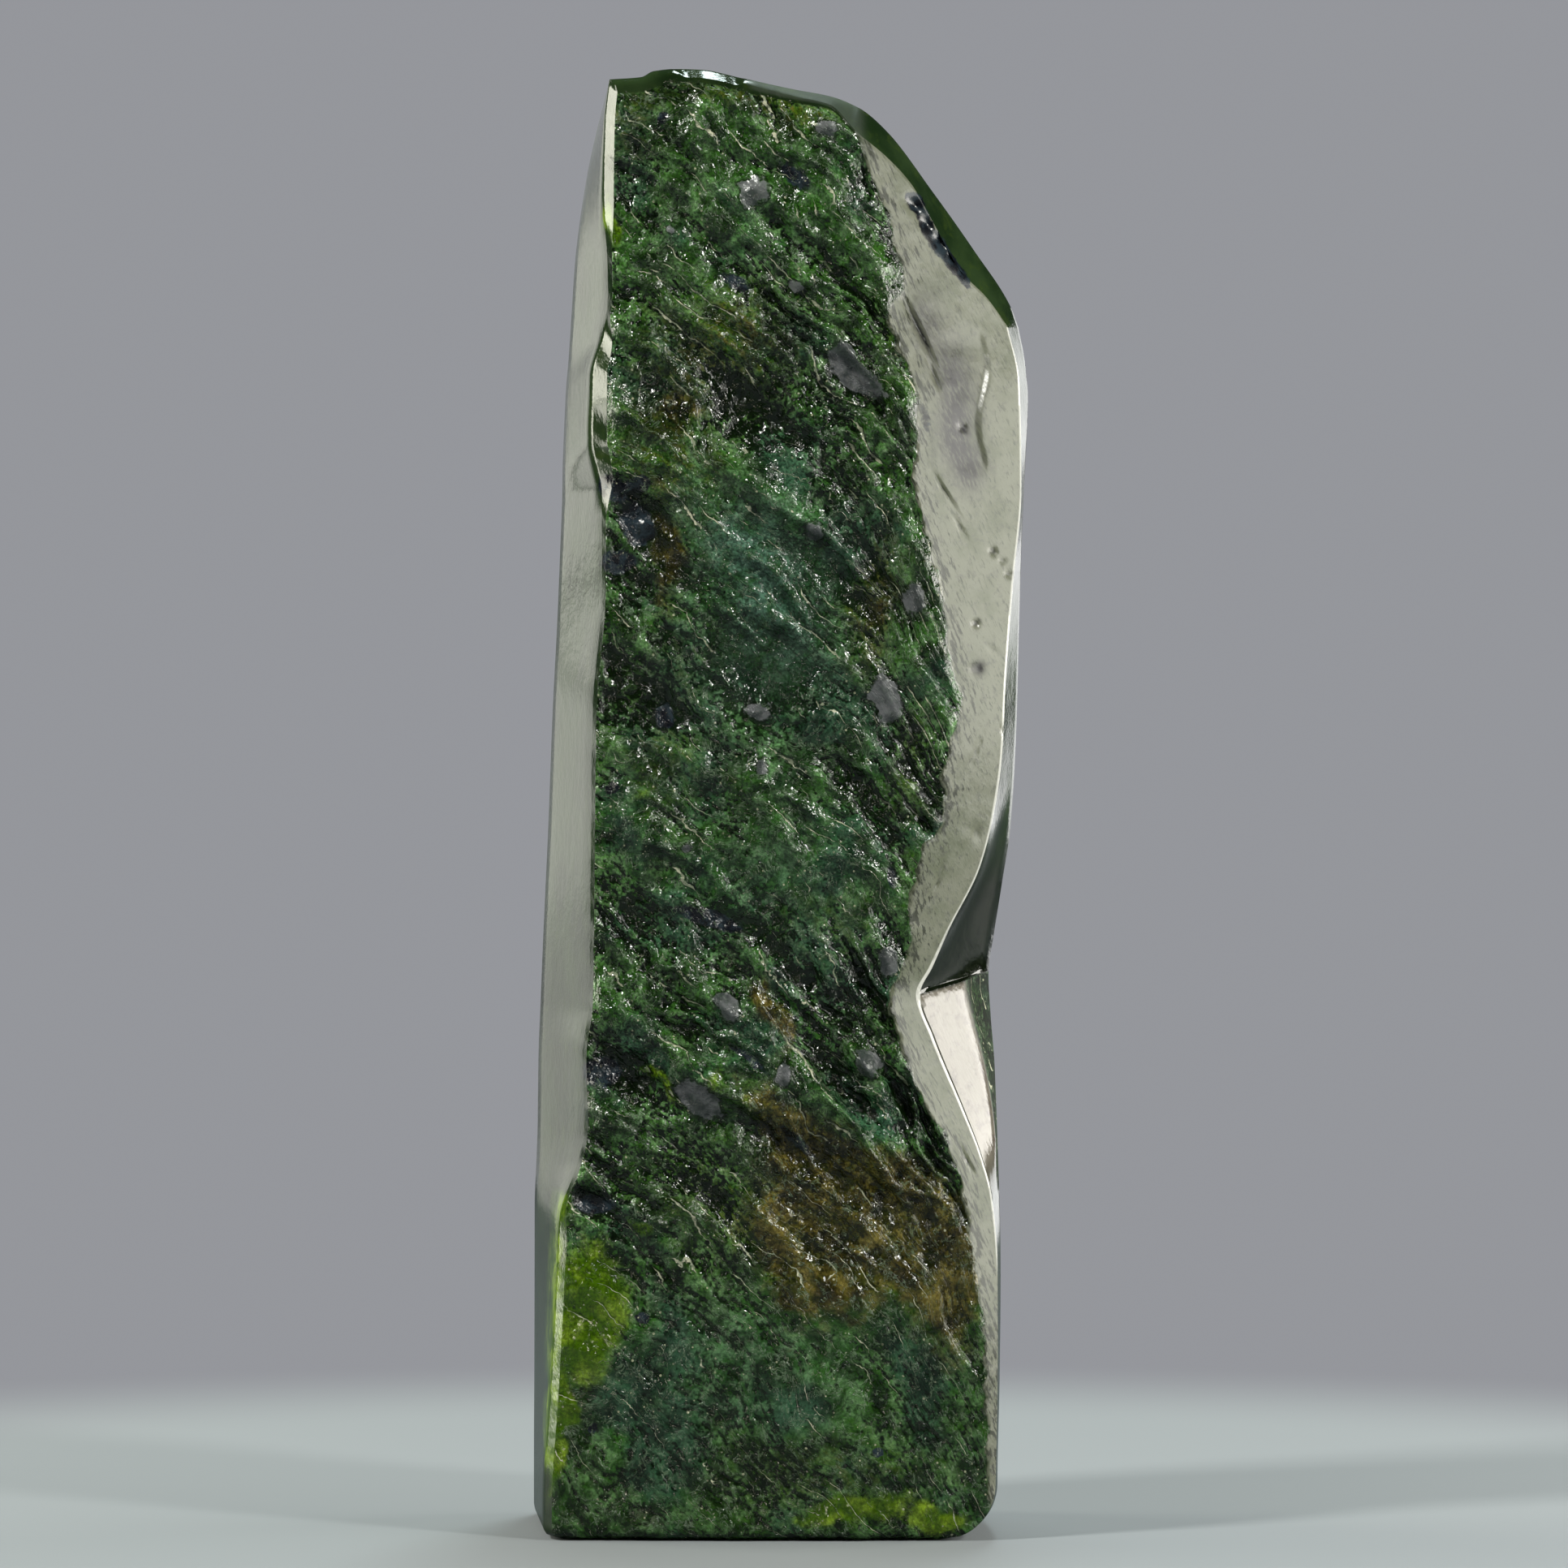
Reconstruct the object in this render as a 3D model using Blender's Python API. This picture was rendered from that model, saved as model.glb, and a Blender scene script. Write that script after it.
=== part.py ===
"""Standing freeform of green nephrite: one stone with a sawn foot, polished flanks and a natural rind."""
import math

import bmesh
import bpy
import numpy as np
from mathutils import Vector, noise

MM = 0.001
NAME = "jade_stone"
COLLECTION = "standing_jade"

# Driving dimensions, in millimetres. X runs to the right of the front, Y to the back, Z up.
FRONT_LEFT_TOP = 246.4
FRONT_RIGHT_TOP = 206.9
NOTCH_FRONT = 92.4
NOTCH_SIDE = 95.6
FRONT_PLANE = -26.0
FRONT_LEAN = 3.0
FRONT_CROWN = 1.6
BACK_AT_FOOT = 26.0
BACK_AT_TOP = 15.0
BACK_CROWN = 3.5
BEVEL_SLOPE = 0.64
TOP_ROUND = 1.8
REAR_ROUND = 5.0
FOOT_ROUND = 2.0
LEFT_CORNER_ROUND = 2.0
RIGHT_CORNER_ROUND = 9.0
HALF_WIDTH = 40.0

# Outlines seen from the front, as (height, distance from the middle).
LEFT_EDGE = (
    (0, -40.6), (8, -40.5), (25, -39.4), (49, -38.1), (55, -37.8), (64, -34.8), (70, -33.7), (82, -34.0),
    (91, -32.9), (140, -32.3), (162, -30.7), (178, -30.8), (187, -32.5), (198, -32.3), (205, -30.4),
    (213, -29.7), (229, -30.4), (241, -30.2), (250, -29.2),
)
REAR_LEFT_EDGE = (
    (0, -44.2), (60, -44.4), (82, -44.1), (124, -42.2), (179, -39.6), (216, -37.5), (234, -34.8),
    (250, -30.5),
)
RIM = (
    (0, 35.9), (13, 36.3), (33, 36.6), (46, 36.6), (58, 35.6), (65, 33.7), (72, 30.9), (85, 25.4),
    (NOTCH_FRONT, 22.9), (97, 25.2), (103, 28.1), (114, 33.7), (121.5, 35.7), (133, 37.4), (146, 38.1),
    (162, 39.4), (179, 41.0), (197, 40.7), (FRONT_RIGHT_TOP, 38.6),
)
RIGHT_SIDE = (
    (0, 36.8), (8, 36.7), (27, 37.1), (46, 37.3), (70, 36.9), (80, 36.6), (88, 36.0), (NOTCH_SIDE, 35.6),
    (102, 36.5), (111, 37.9), (120, 39.2), (133, 40.0), (162, 40.9), (179, 41.7), (195, 42.4), (201, 41.9),
    (FRONT_RIGHT_TOP, 40.8),
)
BEVEL_EDGE = (
    (0, 35.2), (33, 34.4), (47, 32.6), (58, 30.7), (67, 28.2), (73, 24.3), (81, 21.1), (92, 17.8),
    (99, 21.5), (108, 21.8), (117, 23.6), (122, 27.1), (130, 27.3), (142, 30.5), (150, 28.6), (160, 27.1),
    (172, 23.9), (181, 22.1), (193, 22.7), (208, 18.1), (213, 20.3), (221, 19.2), (230, 15.7), (240, 12.0),
)

# Top outlines, as (distance from the middle, height).
TOP_FRONT = (
    (-28, 246.4), (-23.5, 246.8), (-18.5, 248.3), (-14, 248.2), (-7, 246.8), (2, 244.8), (8, 243.6),
    (13, 238.6), (17.5, 235.1), (22, 230.5), (26, 223.6), (30.4, 216), (35, 211.6), (38.6, FRONT_RIGHT_TOP),
)
TOP_RIDGE = (
    (-29.5, 248.2), (-24, 248.6), (-22, 249.6), (-18, 250), (-14, 249.9), (-7, 248.5), (2, 246.6),
    (8.4, 245.4), (13.4, 243.3), (18, 239.6), (26, 229.5), (33.2, 219.7), (39.3, 210.8),
    (40.8, FRONT_RIGHT_TOP),
)

# How far behind the rim the side is widest, as (height, depth): the notch is a deep two-sided scoop.
SIDE_DEPTH = (
    (0, 6), (46, 6), (60, 9), (75, 15), (NOTCH_FRONT, 19), (108, 15), (125, 9), (140, 7), (250, 6),
)
ROUND_DEPTH = 2.4
LEFT_ROUND = (
    (0, 1.5), (50, 1.5), (60, 0.8), (172, 0.8), (184, 2.8), (200, 2.6), (208, 0.9), (216, 0.9),
    (228, 1.8), (250, 1.8),
)
SCOOP_HOLLOW = 1.4
FACET_SWELL = 0.22
REAR_TAPER = 3.0

# Where a form comes in and fades out again, as four heights or four distances from the middle.
SCOOP_HEIGHTS = (NOTCH_FRONT, NOTCH_FRONT + 14, 108, 128)
FACET_HEIGHTS = (58, 70, NOTCH_FRONT - 3, NOTCH_FRONT + 1)
HOLLOW_HEIGHTS = (179, 184, 203, 208)
HOLLOW_WIDTHS = (24, 30, 34.6, 36.2)

# How far the bevel is cut below the rind, and how softly the two meet.
BEVEL_CUT = 0.5
BEVEL_SEAM = 0.5

# Grid lines of the starting cube, as shares of its sides.
COLUMNS = 30
ROWS_BELOW_NOTCH = 34
ROWS_ABOVE_NOTCH = 43
FOOT_ROWS = (0.0025, 0.008, 0.016)
SIDE_SHARE = 0.4
NEAR_LINES = (0.12, 0.35, 0.65, 1.0)
FAR_LINES = (0.42, 0.84, 0.92, 0.97)
NOTCH_ROW = NOTCH_FRONT / FRONT_RIGHT_TOP


def through(points, s):
    """Smooth curve through (s, value) points, with no overshoot between them."""
    knots = np.array(points, dtype=float)
    at, value = knots[:, 0], knots[:, 1]
    step = np.diff(at)
    rise = np.diff(value) / step
    slope = np.zeros(len(at))
    same_way = rise[:-1] * rise[1:] > 0
    mean = 2 * rise[:-1] * rise[1:] / np.where(same_way, rise[:-1] + rise[1:], 1)
    slope[1:-1] = np.where(same_way, mean, 0)
    slope[0], slope[-1] = rise[0], rise[-1]
    s = np.clip(s, at[0], at[-1])
    i = np.clip(np.searchsorted(at, s) - 1, 0, len(step) - 1)
    t = (s - at[i]) / step[i]
    start = value[i] * (2 * t ** 3 - 3 * t ** 2 + 1) + slope[i] * step[i] * (t ** 3 - 2 * t ** 2 + t)
    end = value[i + 1] * (3 * t ** 2 - 2 * t ** 3) + slope[i + 1] * step[i] * (t ** 3 - t ** 2)
    return start + end


def mix(a, b, t):
    return a + (b - a) * t


def smoothstep(low, high, s):
    t = np.clip((s - low) / (high - low), 0, 1)
    return t * t * (3 - 2 * t)


def within(span, s):
    """Share that comes in over the first two values of a span and fades out over the last two."""
    return smoothstep(span[0], span[1], s) * (1 - smoothstep(span[2], span[3], s))


def quarter_round(radius, distance):
    """Inset of a rounded edge at a distance from its end."""
    left = np.clip(1 - distance / radius, 0, 1)
    return radius * (1 - np.sqrt(1 - left ** 2))


def field(a, b, seed):
    """Gradient noise over two arrays, about -0.6 to 0.6."""
    flat = [noise.noise((p, q, seed)) for p, q in zip(np.ravel(a), np.ravel(b))]
    return np.array(flat).reshape(np.shape(a))


def creases(value):
    """Narrow crests where a noise field changes sign."""
    return np.clip(1 - 3.2 * np.abs(value), 0, 1)


def lumps_of(form, x, z):
    """Low round swellings and dips of one (width, length, height, seed)."""
    width, length, height, seed = form
    return height * field(x / width, z / length, seed)


# Relief of the natural rind

# The wrinkles run down to the right, and steeper towards the bevel.
FLOW = math.radians(41)
STEEPER_FROM = 8
STEEPER_OVER = 30
ROUGHNESS = (
    (0, 0.2), (30, 0.3), (48, 0.55), (62, 1.1), (85, 1.25), (110, 0.8), (150, 0.75), (190, 1.1), (250, 0.9),
)

# How the flow wanders, as (length, reach, seed).
WANDER = ((34, 5, 3.1), (12, 1.6, 9.4))

# Wrinkles and lumps of the rind and of the back, as (width, length, height, seed).
WRINKLES = ((11, 46, 1.4, 17.3), (6.4, 26, 0.9, 41.7))
RIND_LUMPS = (15, 17, 1.8, 57.9)
RIND_LEVEL = 0.6
BACK_LUMPS = ((30, 36, 2.6, 71.3), (13, 22, 1.6, 83.7))
BACK_LUMPS_FROM = 25

# Each lump, pit or ledge: across, height, half-width, half-height, rise, turn in degrees.
FORMS = (
    (-32, 38, 7, 13, 0.9, 0), (-31.5, 57.5, 6, 3.2, -1.5, -8), (-22, 75.5, 14, 3.4, -1.6, -22),
    (-21, 83, 13, 3.2, 1.4, -33), (-14, 70, 9, 3.4, 1.2, -28), (0, 87, 11, 3.2, 1.5, -57),
    (8, 72, 15, 3, 1.5, -36), (2, 65, 13, 3.2, -1.2, -36), (17, 63, 14, 3, 1.4, -40),
    (10.5, 57, 3, 7, -1.3, -12), (11, 41, 9, 7, 1.0, 0), (14.2, 81, 3, 3.6, 1.3, 0),
    (20, 76, 3, 10, -1.2, 35), (-12, 105, 11, 3.2, -1.6, -20), (1, 118, 14, 2.6, 1.5, -62),
    (-20, 140, 5, 4.5, -1.6, 0), (-25, 174, 6, 9, -1.7, 15), (-3, 152, 13, 15, -0.4, 0),
    (-4, 177, 13, 2.6, 1.6, -41), (4, 186, 12, 2.6, -1.0, -45), (14, 197, 8, 4, -1.9, -35),
    (20.6, 206.5, 3.6, 4, -1.8, 0), (18, 186, 12, 2.6, 1.5, -55), (25, 150, 5, 14, 1.3, 10),
    (17.5, 143, 3.4, 5.5, -1.6, 15), (21, 165, 4, 7, 1.2, -20), (8, 226, 16, 2.8, 1.5, -55),
    (15, 217, 14, 2.8, 1.2, -62), (-4, 228, 4.5, 4.5, 1.4, 0), (-20, 213, 9, 12, 1.0, 0),
    (18.5, 101, 3, 6, -1.3, 0),
)


def relief(x, z):
    """Height of the rind over its smooth face: flowing wrinkles, lumps, ledges and pits."""
    bent = x + np.clip(x - STEEPER_FROM, 0, None) ** 2 / STEEPER_OVER
    across = bent * math.sin(FLOW) + z * math.cos(FLOW)
    along = x * math.cos(FLOW) - z * math.sin(FLOW)
    for length, reach, seed in WANDER:
        across = across + reach * field(x / length, z / length, seed)
    height = lumps_of(RIND_LUMPS, x, z) - RIND_LEVEL
    for width, length, rise, seed in WRINKLES:
        height = height + rise * creases(field(across / width, along / length, seed))
    height = through(ROUGHNESS, z) * height
    for fx, fz, half_width, half_height, rise, degrees in FORMS:
        angle = math.radians(degrees)
        a = ((x - fx) * math.cos(angle) + (z - fz) * math.sin(angle)) / half_width
        b = ((z - fz) * math.cos(angle) - (x - fx) * math.sin(angle)) / half_height
        height = height + rise * np.exp(-1.4 * (a * a + b * b))
    return height


def smooth_max(a, b, width):
    """The larger of two surfaces, with the seam between them rounded."""
    blend = np.clip(0.5 + 0.5 * (b - a) / width, 0, 1)
    return mix(a, b, blend) + width * blend * (1 - blend)


# Front and back faces

def front_depth(x, z):
    """Front face: the rind, cut by the polished bevel along the right."""
    face = FRONT_PLANE + FRONT_LEAN * (z / FRONT_LEFT_TOP) ** 2 + FRONT_CROWN * (x / HALF_WIDTH) ** 2
    rind = face - relief(x, z)
    edge = through(BEVEL_EDGE, z)
    bevel = face - BEVEL_CUT + BEVEL_SLOPE * (x - edge)
    hollow = within(HOLLOW_HEIGHTS, z) * within(HOLLOW_WIDTHS, x)
    depth = smooth_max(rind, bevel + hollow, BEVEL_SEAM)
    return depth + quarter_round(FOOT_ROUND, z)


def back_depth(x, z):
    """Back face: leaning in towards the top, crowned, with low broad lumps."""
    face = mix(BACK_AT_FOOT, BACK_AT_TOP, (z / FRONT_LEFT_TOP) ** 1.5) - BACK_CROWN * (x / HALF_WIDTH) ** 2
    lumps = lumps_of(BACK_LUMPS[0], x, z) + lumps_of(BACK_LUMPS[1], x, z)
    return face + lumps * smoothstep(0, BACK_LUMPS_FROM, z) - quarter_round(FOOT_ROUND, z)


# Outlines at each depth

def patch(left, right, top, bottom, u, v):
    """Surface point between four border curves, each an (across, height) pair of arrays."""
    corners = []
    for k in range(2):
        low_left, low_right = left[k][0], right[k][0]
        high_left, high_right = left[k][1], right[k][1]
        sides = mix(left[k][2], right[k][2], u)
        ends = mix(bottom[k], top[k], v)
        fold = mix(mix(low_left, low_right, u), mix(high_left, high_right, u), v)
        corners.append(sides + ends - fold)
    return corners


def outline(borders, left_heights, right_heights, insets, u, v):
    """Front view of the stone at one depth, filled in between its borders.

    The borders are the left, right and top curves. Each moves in by its inset, the left one's by height.
    """
    left_curve, right_curve, top_curve = borders
    inset_left, inset_right, inset_top = insets
    left_x = [through(left_curve, h) + inset_left(h) for h in left_heights]
    left_x = [x + quarter_round(LEFT_CORNER_ROUND, h) for x, h in zip(left_x, left_heights)]
    right_x = [through(right_curve, h) - inset_right for h in right_heights]
    right_x = [x - quarter_round(RIGHT_CORNER_ROUND, h) for x, h in zip(right_x, right_heights)]
    top_x = mix(left_x[1], right_x[1], u)
    top_z = through(top_curve, top_x) - inset_top
    error_left = left_heights[1] - (through(top_curve, left_x[1]) - inset_top)
    error_right = right_heights[1] - (through(top_curve, right_x[1]) - inset_top)
    top_z = top_z + mix(error_left, error_right, u)
    foot_x = mix(left_x[0], right_x[0], u)
    return patch((left_x, left_heights), (right_x, right_heights), (top_x, top_z), (foot_x, 0 * u), u, v)


def rows_to_height(v, middle, top):
    """Height of a row on the right, where one row always meets the notch."""
    low = middle * v / NOTCH_ROW
    high = mix(middle, top, (v - NOTCH_ROW) / (1 - NOTCH_ROW))
    return np.where(v < NOTCH_ROW, low, high)


def left_round(height):
    """How far the rounded left edge draws in at a height."""
    return through(LEFT_ROUND, height)


def square(height):
    """No inset at any height."""
    return 0 * height


def place(u, w, v):
    """Where a point of the starting cube, given by shares of its sides, lies on the stone."""
    near = np.clip(w / SIDE_SHARE, 0, 1)
    far = np.clip((w - SIDE_SHARE) / (1 - SIDE_SHARE), 0, 1)
    right_front = rows_to_height(v, NOTCH_FRONT, FRONT_RIGHT_TOP)
    right_side = rows_to_height(v, NOTCH_SIDE, FRONT_RIGHT_TOP)

    front = outline((LEFT_EDGE, RIM, TOP_FRONT), (0, FRONT_LEFT_TOP, v * FRONT_LEFT_TOP),
                    (0, FRONT_RIGHT_TOP, right_front), (left_round, 0, 0), u, v)
    side_top = FRONT_LEFT_TOP + TOP_ROUND
    side = outline((LEFT_EDGE, RIGHT_SIDE, TOP_RIDGE), (0, side_top, v * side_top),
                   (0, FRONT_RIGHT_TOP, right_side), (square, 0, 0), u, v)
    inset = quarter_round(REAR_ROUND, (1 - far) * (BACK_AT_FOOT - FRONT_PLANE) * (1 - SIDE_SHARE))
    drawn_in = inset + REAR_TAPER * far
    rear_top = side_top - drawn_in

    def rear_left(height):
        return inset

    rear_right = right_side * (1 - inset / FRONT_RIGHT_TOP)
    rear = outline((REAR_LEFT_EDGE, RIGHT_SIDE, TOP_RIDGE), (0 * rear_top, rear_top, v * rear_top),
                   (0 * inset, FRONT_RIGHT_TOP - inset, rear_right), (rear_left, drawn_in, drawn_in), u, v)

    faceted = smoothstep(0.3, 0.6, u)
    turn = mix(np.sqrt(2 * near - near ** 2), near, faceted)
    x = np.where(far > 0, mix(side[0], rear[0], far), mix(front[0], side[0], turn))
    z = np.where(far > 0, mix(side[1], rear[1], far), mix(front[1], side[1], turn))

    on_right = (u > 0.999) * (v < 0.999) * 4 * near * (1 - near) * (far == 0)
    swell = FACET_SWELL * within(FACET_HEIGHTS, front[1]) * (side[0] - front[0])
    x = x + on_right * (swell - SCOOP_HOLLOW * within(SCOOP_HEIGHTS, front[1]))

    face_y = front_depth(front[0], front[1])
    side_y = face_y + mix(ROUND_DEPTH, through(SIDE_DEPTH, front[1]), u)
    rear_y = back_depth(rear[0], rear[1])
    y = np.where(far > 0, mix(side_y, rear_y, far), mix(face_y, side_y, near))
    return x, y, z


# The cube's grid

def grid_lines():
    columns = [i / COLUMNS for i in range(1, COLUMNS)]
    below = [mix(FOOT_ROWS[-1], NOTCH_ROW, i / ROWS_BELOW_NOTCH) for i in range(1, ROWS_BELOW_NOTCH + 1)]
    above = [mix(NOTCH_ROW, 1, i / ROWS_ABOVE_NOTCH) for i in range(1, ROWS_ABOVE_NOTCH)]
    near = [SIDE_SHARE * t for t in NEAR_LINES]
    far = [mix(SIDE_SHARE, 1, t) for t in FAR_LINES]
    return columns, near + far, list(FOOT_ROWS) + below + above


def gridded_cube():
    """A unit cube from the origin, cut along every grid line."""
    bpy.ops.mesh.primitive_cube_add(size=1, location=(0, 0, 0))
    cube = bpy.context.object
    bm = bmesh.new()
    bm.from_mesh(cube.data)
    bmesh.ops.translate(bm, verts=bm.verts, vec=(0.5, 0.5, 0.5))
    lines = grid_lines()
    for axis in range(3):
        normal = Vector((0, 0, 0))
        normal[axis] = 1
        for share in lines[axis]:
            everything = bm.verts[:] + bm.edges[:] + bm.faces[:]
            bmesh.ops.bisect_plane(bm, geom=everything, plane_co=normal * share, plane_no=normal, dist=1e-6)
    return cube, bm, lines


def thin_out(bm, lines):
    """Take every second grid line off the back, and leave the foot as one flat face."""
    foot = [f for f in bm.faces if all(v.co.z < 1e-5 for v in f.verts)]
    bmesh.ops.dissolve_faces(bm, faces=foot)
    spare = [(0, s) for s in lines[0][::2]] + [(2, s) for s in lines[2][::2]]

    def is_spare(edge):
        a, b = (v.co for v in edge.verts)
        if min(a.y, b.y) < 1 - 1e-5:
            return False
        return any(abs(a[axis] - s) < 1e-5 and abs(b[axis] - s) < 1e-5 for axis, s in spare)

    bmesh.ops.dissolve_edges(bm, edges=[e for e in bm.edges if is_spare(e)], use_verts=True)


def make_material():
    material = bpy.data.materials.new("polished_nephrite")
    material.use_nodes = True
    shader = material.node_tree.nodes["Principled BSDF"]
    shader.inputs["Base Color"].default_value = (0.03, 0.07, 0.03, 1)
    shader.inputs["Roughness"].default_value = 0.18
    shader.inputs["Metallic"].default_value = 0
    return material


def make_stone(collection):
    stone, bm, lines = gridded_cube()
    thin_out(bm, lines)
    shares = np.array([v.co[:] for v in bm.verts])
    points = np.stack(place(shares[:, 0], shares[:, 1], shares[:, 2]), axis=1)
    middle = (points.min(axis=0) + points.max(axis=0)) / 2
    middle[2] = 0
    for vertex, point in zip(bm.verts, (points - middle) * MM):
        vertex.co = point
    bm.to_mesh(stone.data)
    bm.free()
    stone.name = NAME
    stone.data.name = NAME
    stone.data.materials.append(make_material())
    stone.data.shade_smooth()
    stone.data.set_sharp_from_angle(angle=math.radians(48))
    for other in stone.users_collection:
        other.objects.unlink(stone)
    collection.objects.link(stone)


def main():
    for thing in list(bpy.data.objects):
        bpy.data.objects.remove(thing, do_unlink=True)
    collection = bpy.data.collections.new(COLLECTION)
    bpy.context.scene.collection.children.link(collection)
    make_stone(collection)


main()
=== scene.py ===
import math
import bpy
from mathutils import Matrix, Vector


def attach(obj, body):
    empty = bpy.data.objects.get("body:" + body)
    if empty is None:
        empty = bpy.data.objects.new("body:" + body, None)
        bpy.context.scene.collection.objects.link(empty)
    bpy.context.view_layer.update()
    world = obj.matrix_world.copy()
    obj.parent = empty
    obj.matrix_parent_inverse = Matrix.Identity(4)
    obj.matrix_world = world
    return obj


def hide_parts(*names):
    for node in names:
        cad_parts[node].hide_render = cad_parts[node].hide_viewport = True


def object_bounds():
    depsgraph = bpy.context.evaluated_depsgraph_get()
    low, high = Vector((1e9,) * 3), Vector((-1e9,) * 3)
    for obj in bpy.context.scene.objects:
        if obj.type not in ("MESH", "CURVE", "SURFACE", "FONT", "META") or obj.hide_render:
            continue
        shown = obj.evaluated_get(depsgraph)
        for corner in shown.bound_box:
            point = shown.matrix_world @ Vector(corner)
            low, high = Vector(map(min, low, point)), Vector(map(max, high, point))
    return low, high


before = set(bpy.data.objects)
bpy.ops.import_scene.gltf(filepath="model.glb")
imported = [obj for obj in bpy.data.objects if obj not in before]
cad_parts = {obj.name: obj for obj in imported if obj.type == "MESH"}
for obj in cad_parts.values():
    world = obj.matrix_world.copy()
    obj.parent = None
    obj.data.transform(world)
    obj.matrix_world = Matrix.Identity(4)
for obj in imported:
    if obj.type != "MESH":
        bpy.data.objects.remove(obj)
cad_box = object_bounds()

from types import SimpleNamespace

import bpy
import numpy as np
from mathutils import Vector, noise

MM = 0.001
NODE = "jade_stone"
ALMOST = 0.999
TINY = 1e-6

# Shape of the stone, in millimetres before it is centred, as its solid has it
MIDDLE = (-0.619, -1.685)
FRONT_LEFT_TOP = 246.4
FRONT_RIGHT_TOP = 206.9
NOTCH_FRONT = 92.4
NOTCH_SIDE = 95.6
FRONT_PLANE = -26.0
FRONT_LEAN = 3.0
FRONT_CROWN = 1.6
BACK_AT_FOOT = 26.0
BACK_AT_TOP = 15.0
BACK_CROWN = 3.5
BEVEL_SLOPE = 0.64
TOP_ROUND = 1.8
REAR_ROUND = 5.0
REAR_TAPER = 3.0
FOOT_ROUND = 2.0
LEFT_CORNER_ROUND = 2.0
RIGHT_CORNER_ROUND = 9.0
HALF_WIDTH = 40.0

# Outlines seen from the front, as (height, distance from the middle)
LEFT_EDGE = (
    (0, -40.6), (8, -40.5), (25, -39.4), (49, -38.1), (55, -37.8), (64, -34.8), (70, -33.7), (82, -34.0),
    (91, -32.9), (140, -32.3), (162, -30.7), (178, -30.8), (187, -32.5), (198, -32.3), (205, -30.4),
    (213, -29.7), (229, -30.4), (241, -30.2), (250, -29.2),
)
REAR_LEFT_EDGE = (
    (0, -44.2), (60, -44.4), (82, -44.1), (124, -42.2), (179, -39.6), (216, -37.5), (234, -34.8),
    (250, -30.5),
)
RIM = (
    (0, 35.9), (13, 36.3), (33, 36.6), (46, 36.6), (58, 35.6), (65, 33.7), (72, 30.9), (85, 25.4),
    (NOTCH_FRONT, 22.9), (97, 25.2), (103, 28.1), (114, 33.7), (121.5, 35.7), (133, 37.4), (146, 38.1),
    (162, 39.4), (179, 41.0), (197, 40.7), (FRONT_RIGHT_TOP, 38.6),
)
RIGHT_SIDE = (
    (0, 36.8), (8, 36.7), (27, 37.1), (46, 37.3), (70, 36.9), (80, 36.6), (88, 36.0), (NOTCH_SIDE, 35.6),
    (102, 36.5), (111, 37.9), (120, 39.2), (133, 40.0), (162, 40.9), (179, 41.7), (195, 42.4), (201, 41.9),
    (FRONT_RIGHT_TOP, 40.8),
)
BEVEL_EDGE = (
    (0, 35.2), (33, 34.4), (47, 32.6), (58, 30.7), (67, 28.2), (73, 24.3), (81, 21.1), (92, 17.8),
    (99, 21.5), (108, 21.8), (117, 23.6), (122, 27.1), (130, 27.3), (142, 30.5), (150, 28.6), (160, 27.1),
    (172, 23.9), (181, 22.1), (193, 22.7), (208, 18.1), (213, 20.3), (221, 19.2), (230, 15.7), (240, 12.0),
)
# The smooth line that the bevel's plane starts from, under the ragged edge of the rind
BEVEL_LINE = (
    (0, 34.6), (33, 33.8), (47, 31.9), (60, 29), (73, 24), (81, 21), (NOTCH_FRONT, 18.9), (104, 21.2),
    (120, 24.8), (140, 27.8), (150, 27.4), (172, 24), (190, 22.4), (208, 18.4), (250, 10.2),
)

# Top outlines, as (distance from the middle, height)
TOP_FRONT = (
    (-28, 246.4), (-23.5, 246.8), (-18.5, 248.3), (-14, 248.2), (-7, 246.8), (2, 244.8), (8, 243.6),
    (13, 238.6), (17.5, 235.1), (22, 230.5), (26, 223.6), (30.4, 216), (35, 211.6), (38.6, FRONT_RIGHT_TOP),
)
TOP_RIDGE = (
    (-29.5, 248.2), (-24, 248.6), (-22, 249.6), (-18, 250), (-14, 249.9), (-7, 248.5), (2, 246.6),
    (8.4, 245.4), (13.4, 243.3), (18, 239.6), (26, 229.5), (33.2, 219.7), (39.3, 210.8),
    (40.8, FRONT_RIGHT_TOP),
)
# How far behind the rim the side is widest, as (height, depth): the notch is a deep two-sided scoop.
SIDE_DEPTH = (
    (0, 6), (46, 6), (60, 9), (75, 15), (NOTCH_FRONT, 19), (108, 15), (125, 9), (140, 7), (250, 6),
)
ROUND_DEPTH = 2.4
LEFT_ROUND = (
    (0, 1.5), (50, 1.5), (60, 0.8), (172, 0.8), (184, 2.8), (200, 2.6), (208, 0.9), (216, 0.9),
    (228, 1.8), (250, 1.8),
)
SIDE_SHARE = 0.4
NOTCH_ROW = NOTCH_FRONT / FRONT_RIGHT_TOP

# Soft spans, each as (start, full, full, end) of height or of distance from the middle
SCOOP_HEIGHTS = (NOTCH_FRONT, NOTCH_FRONT + 14, 108, 128)
LEDGE_HEIGHTS = (180, 184, 203, 207)
CHAMFER_WIDTHS = (-18, -16, -8, -6)
DULL_TOP_WIDTHS = (-7, -4, 12, 16)

# The right side: the hollow of the scoop, and the cream facet under the notch with its groove
SCOOP_HOLLOW = 1.4
FACET_DEPTH = 0.5
FACET_BENDS = (0.85, 0.62)
GROOVE = 0.4

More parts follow.
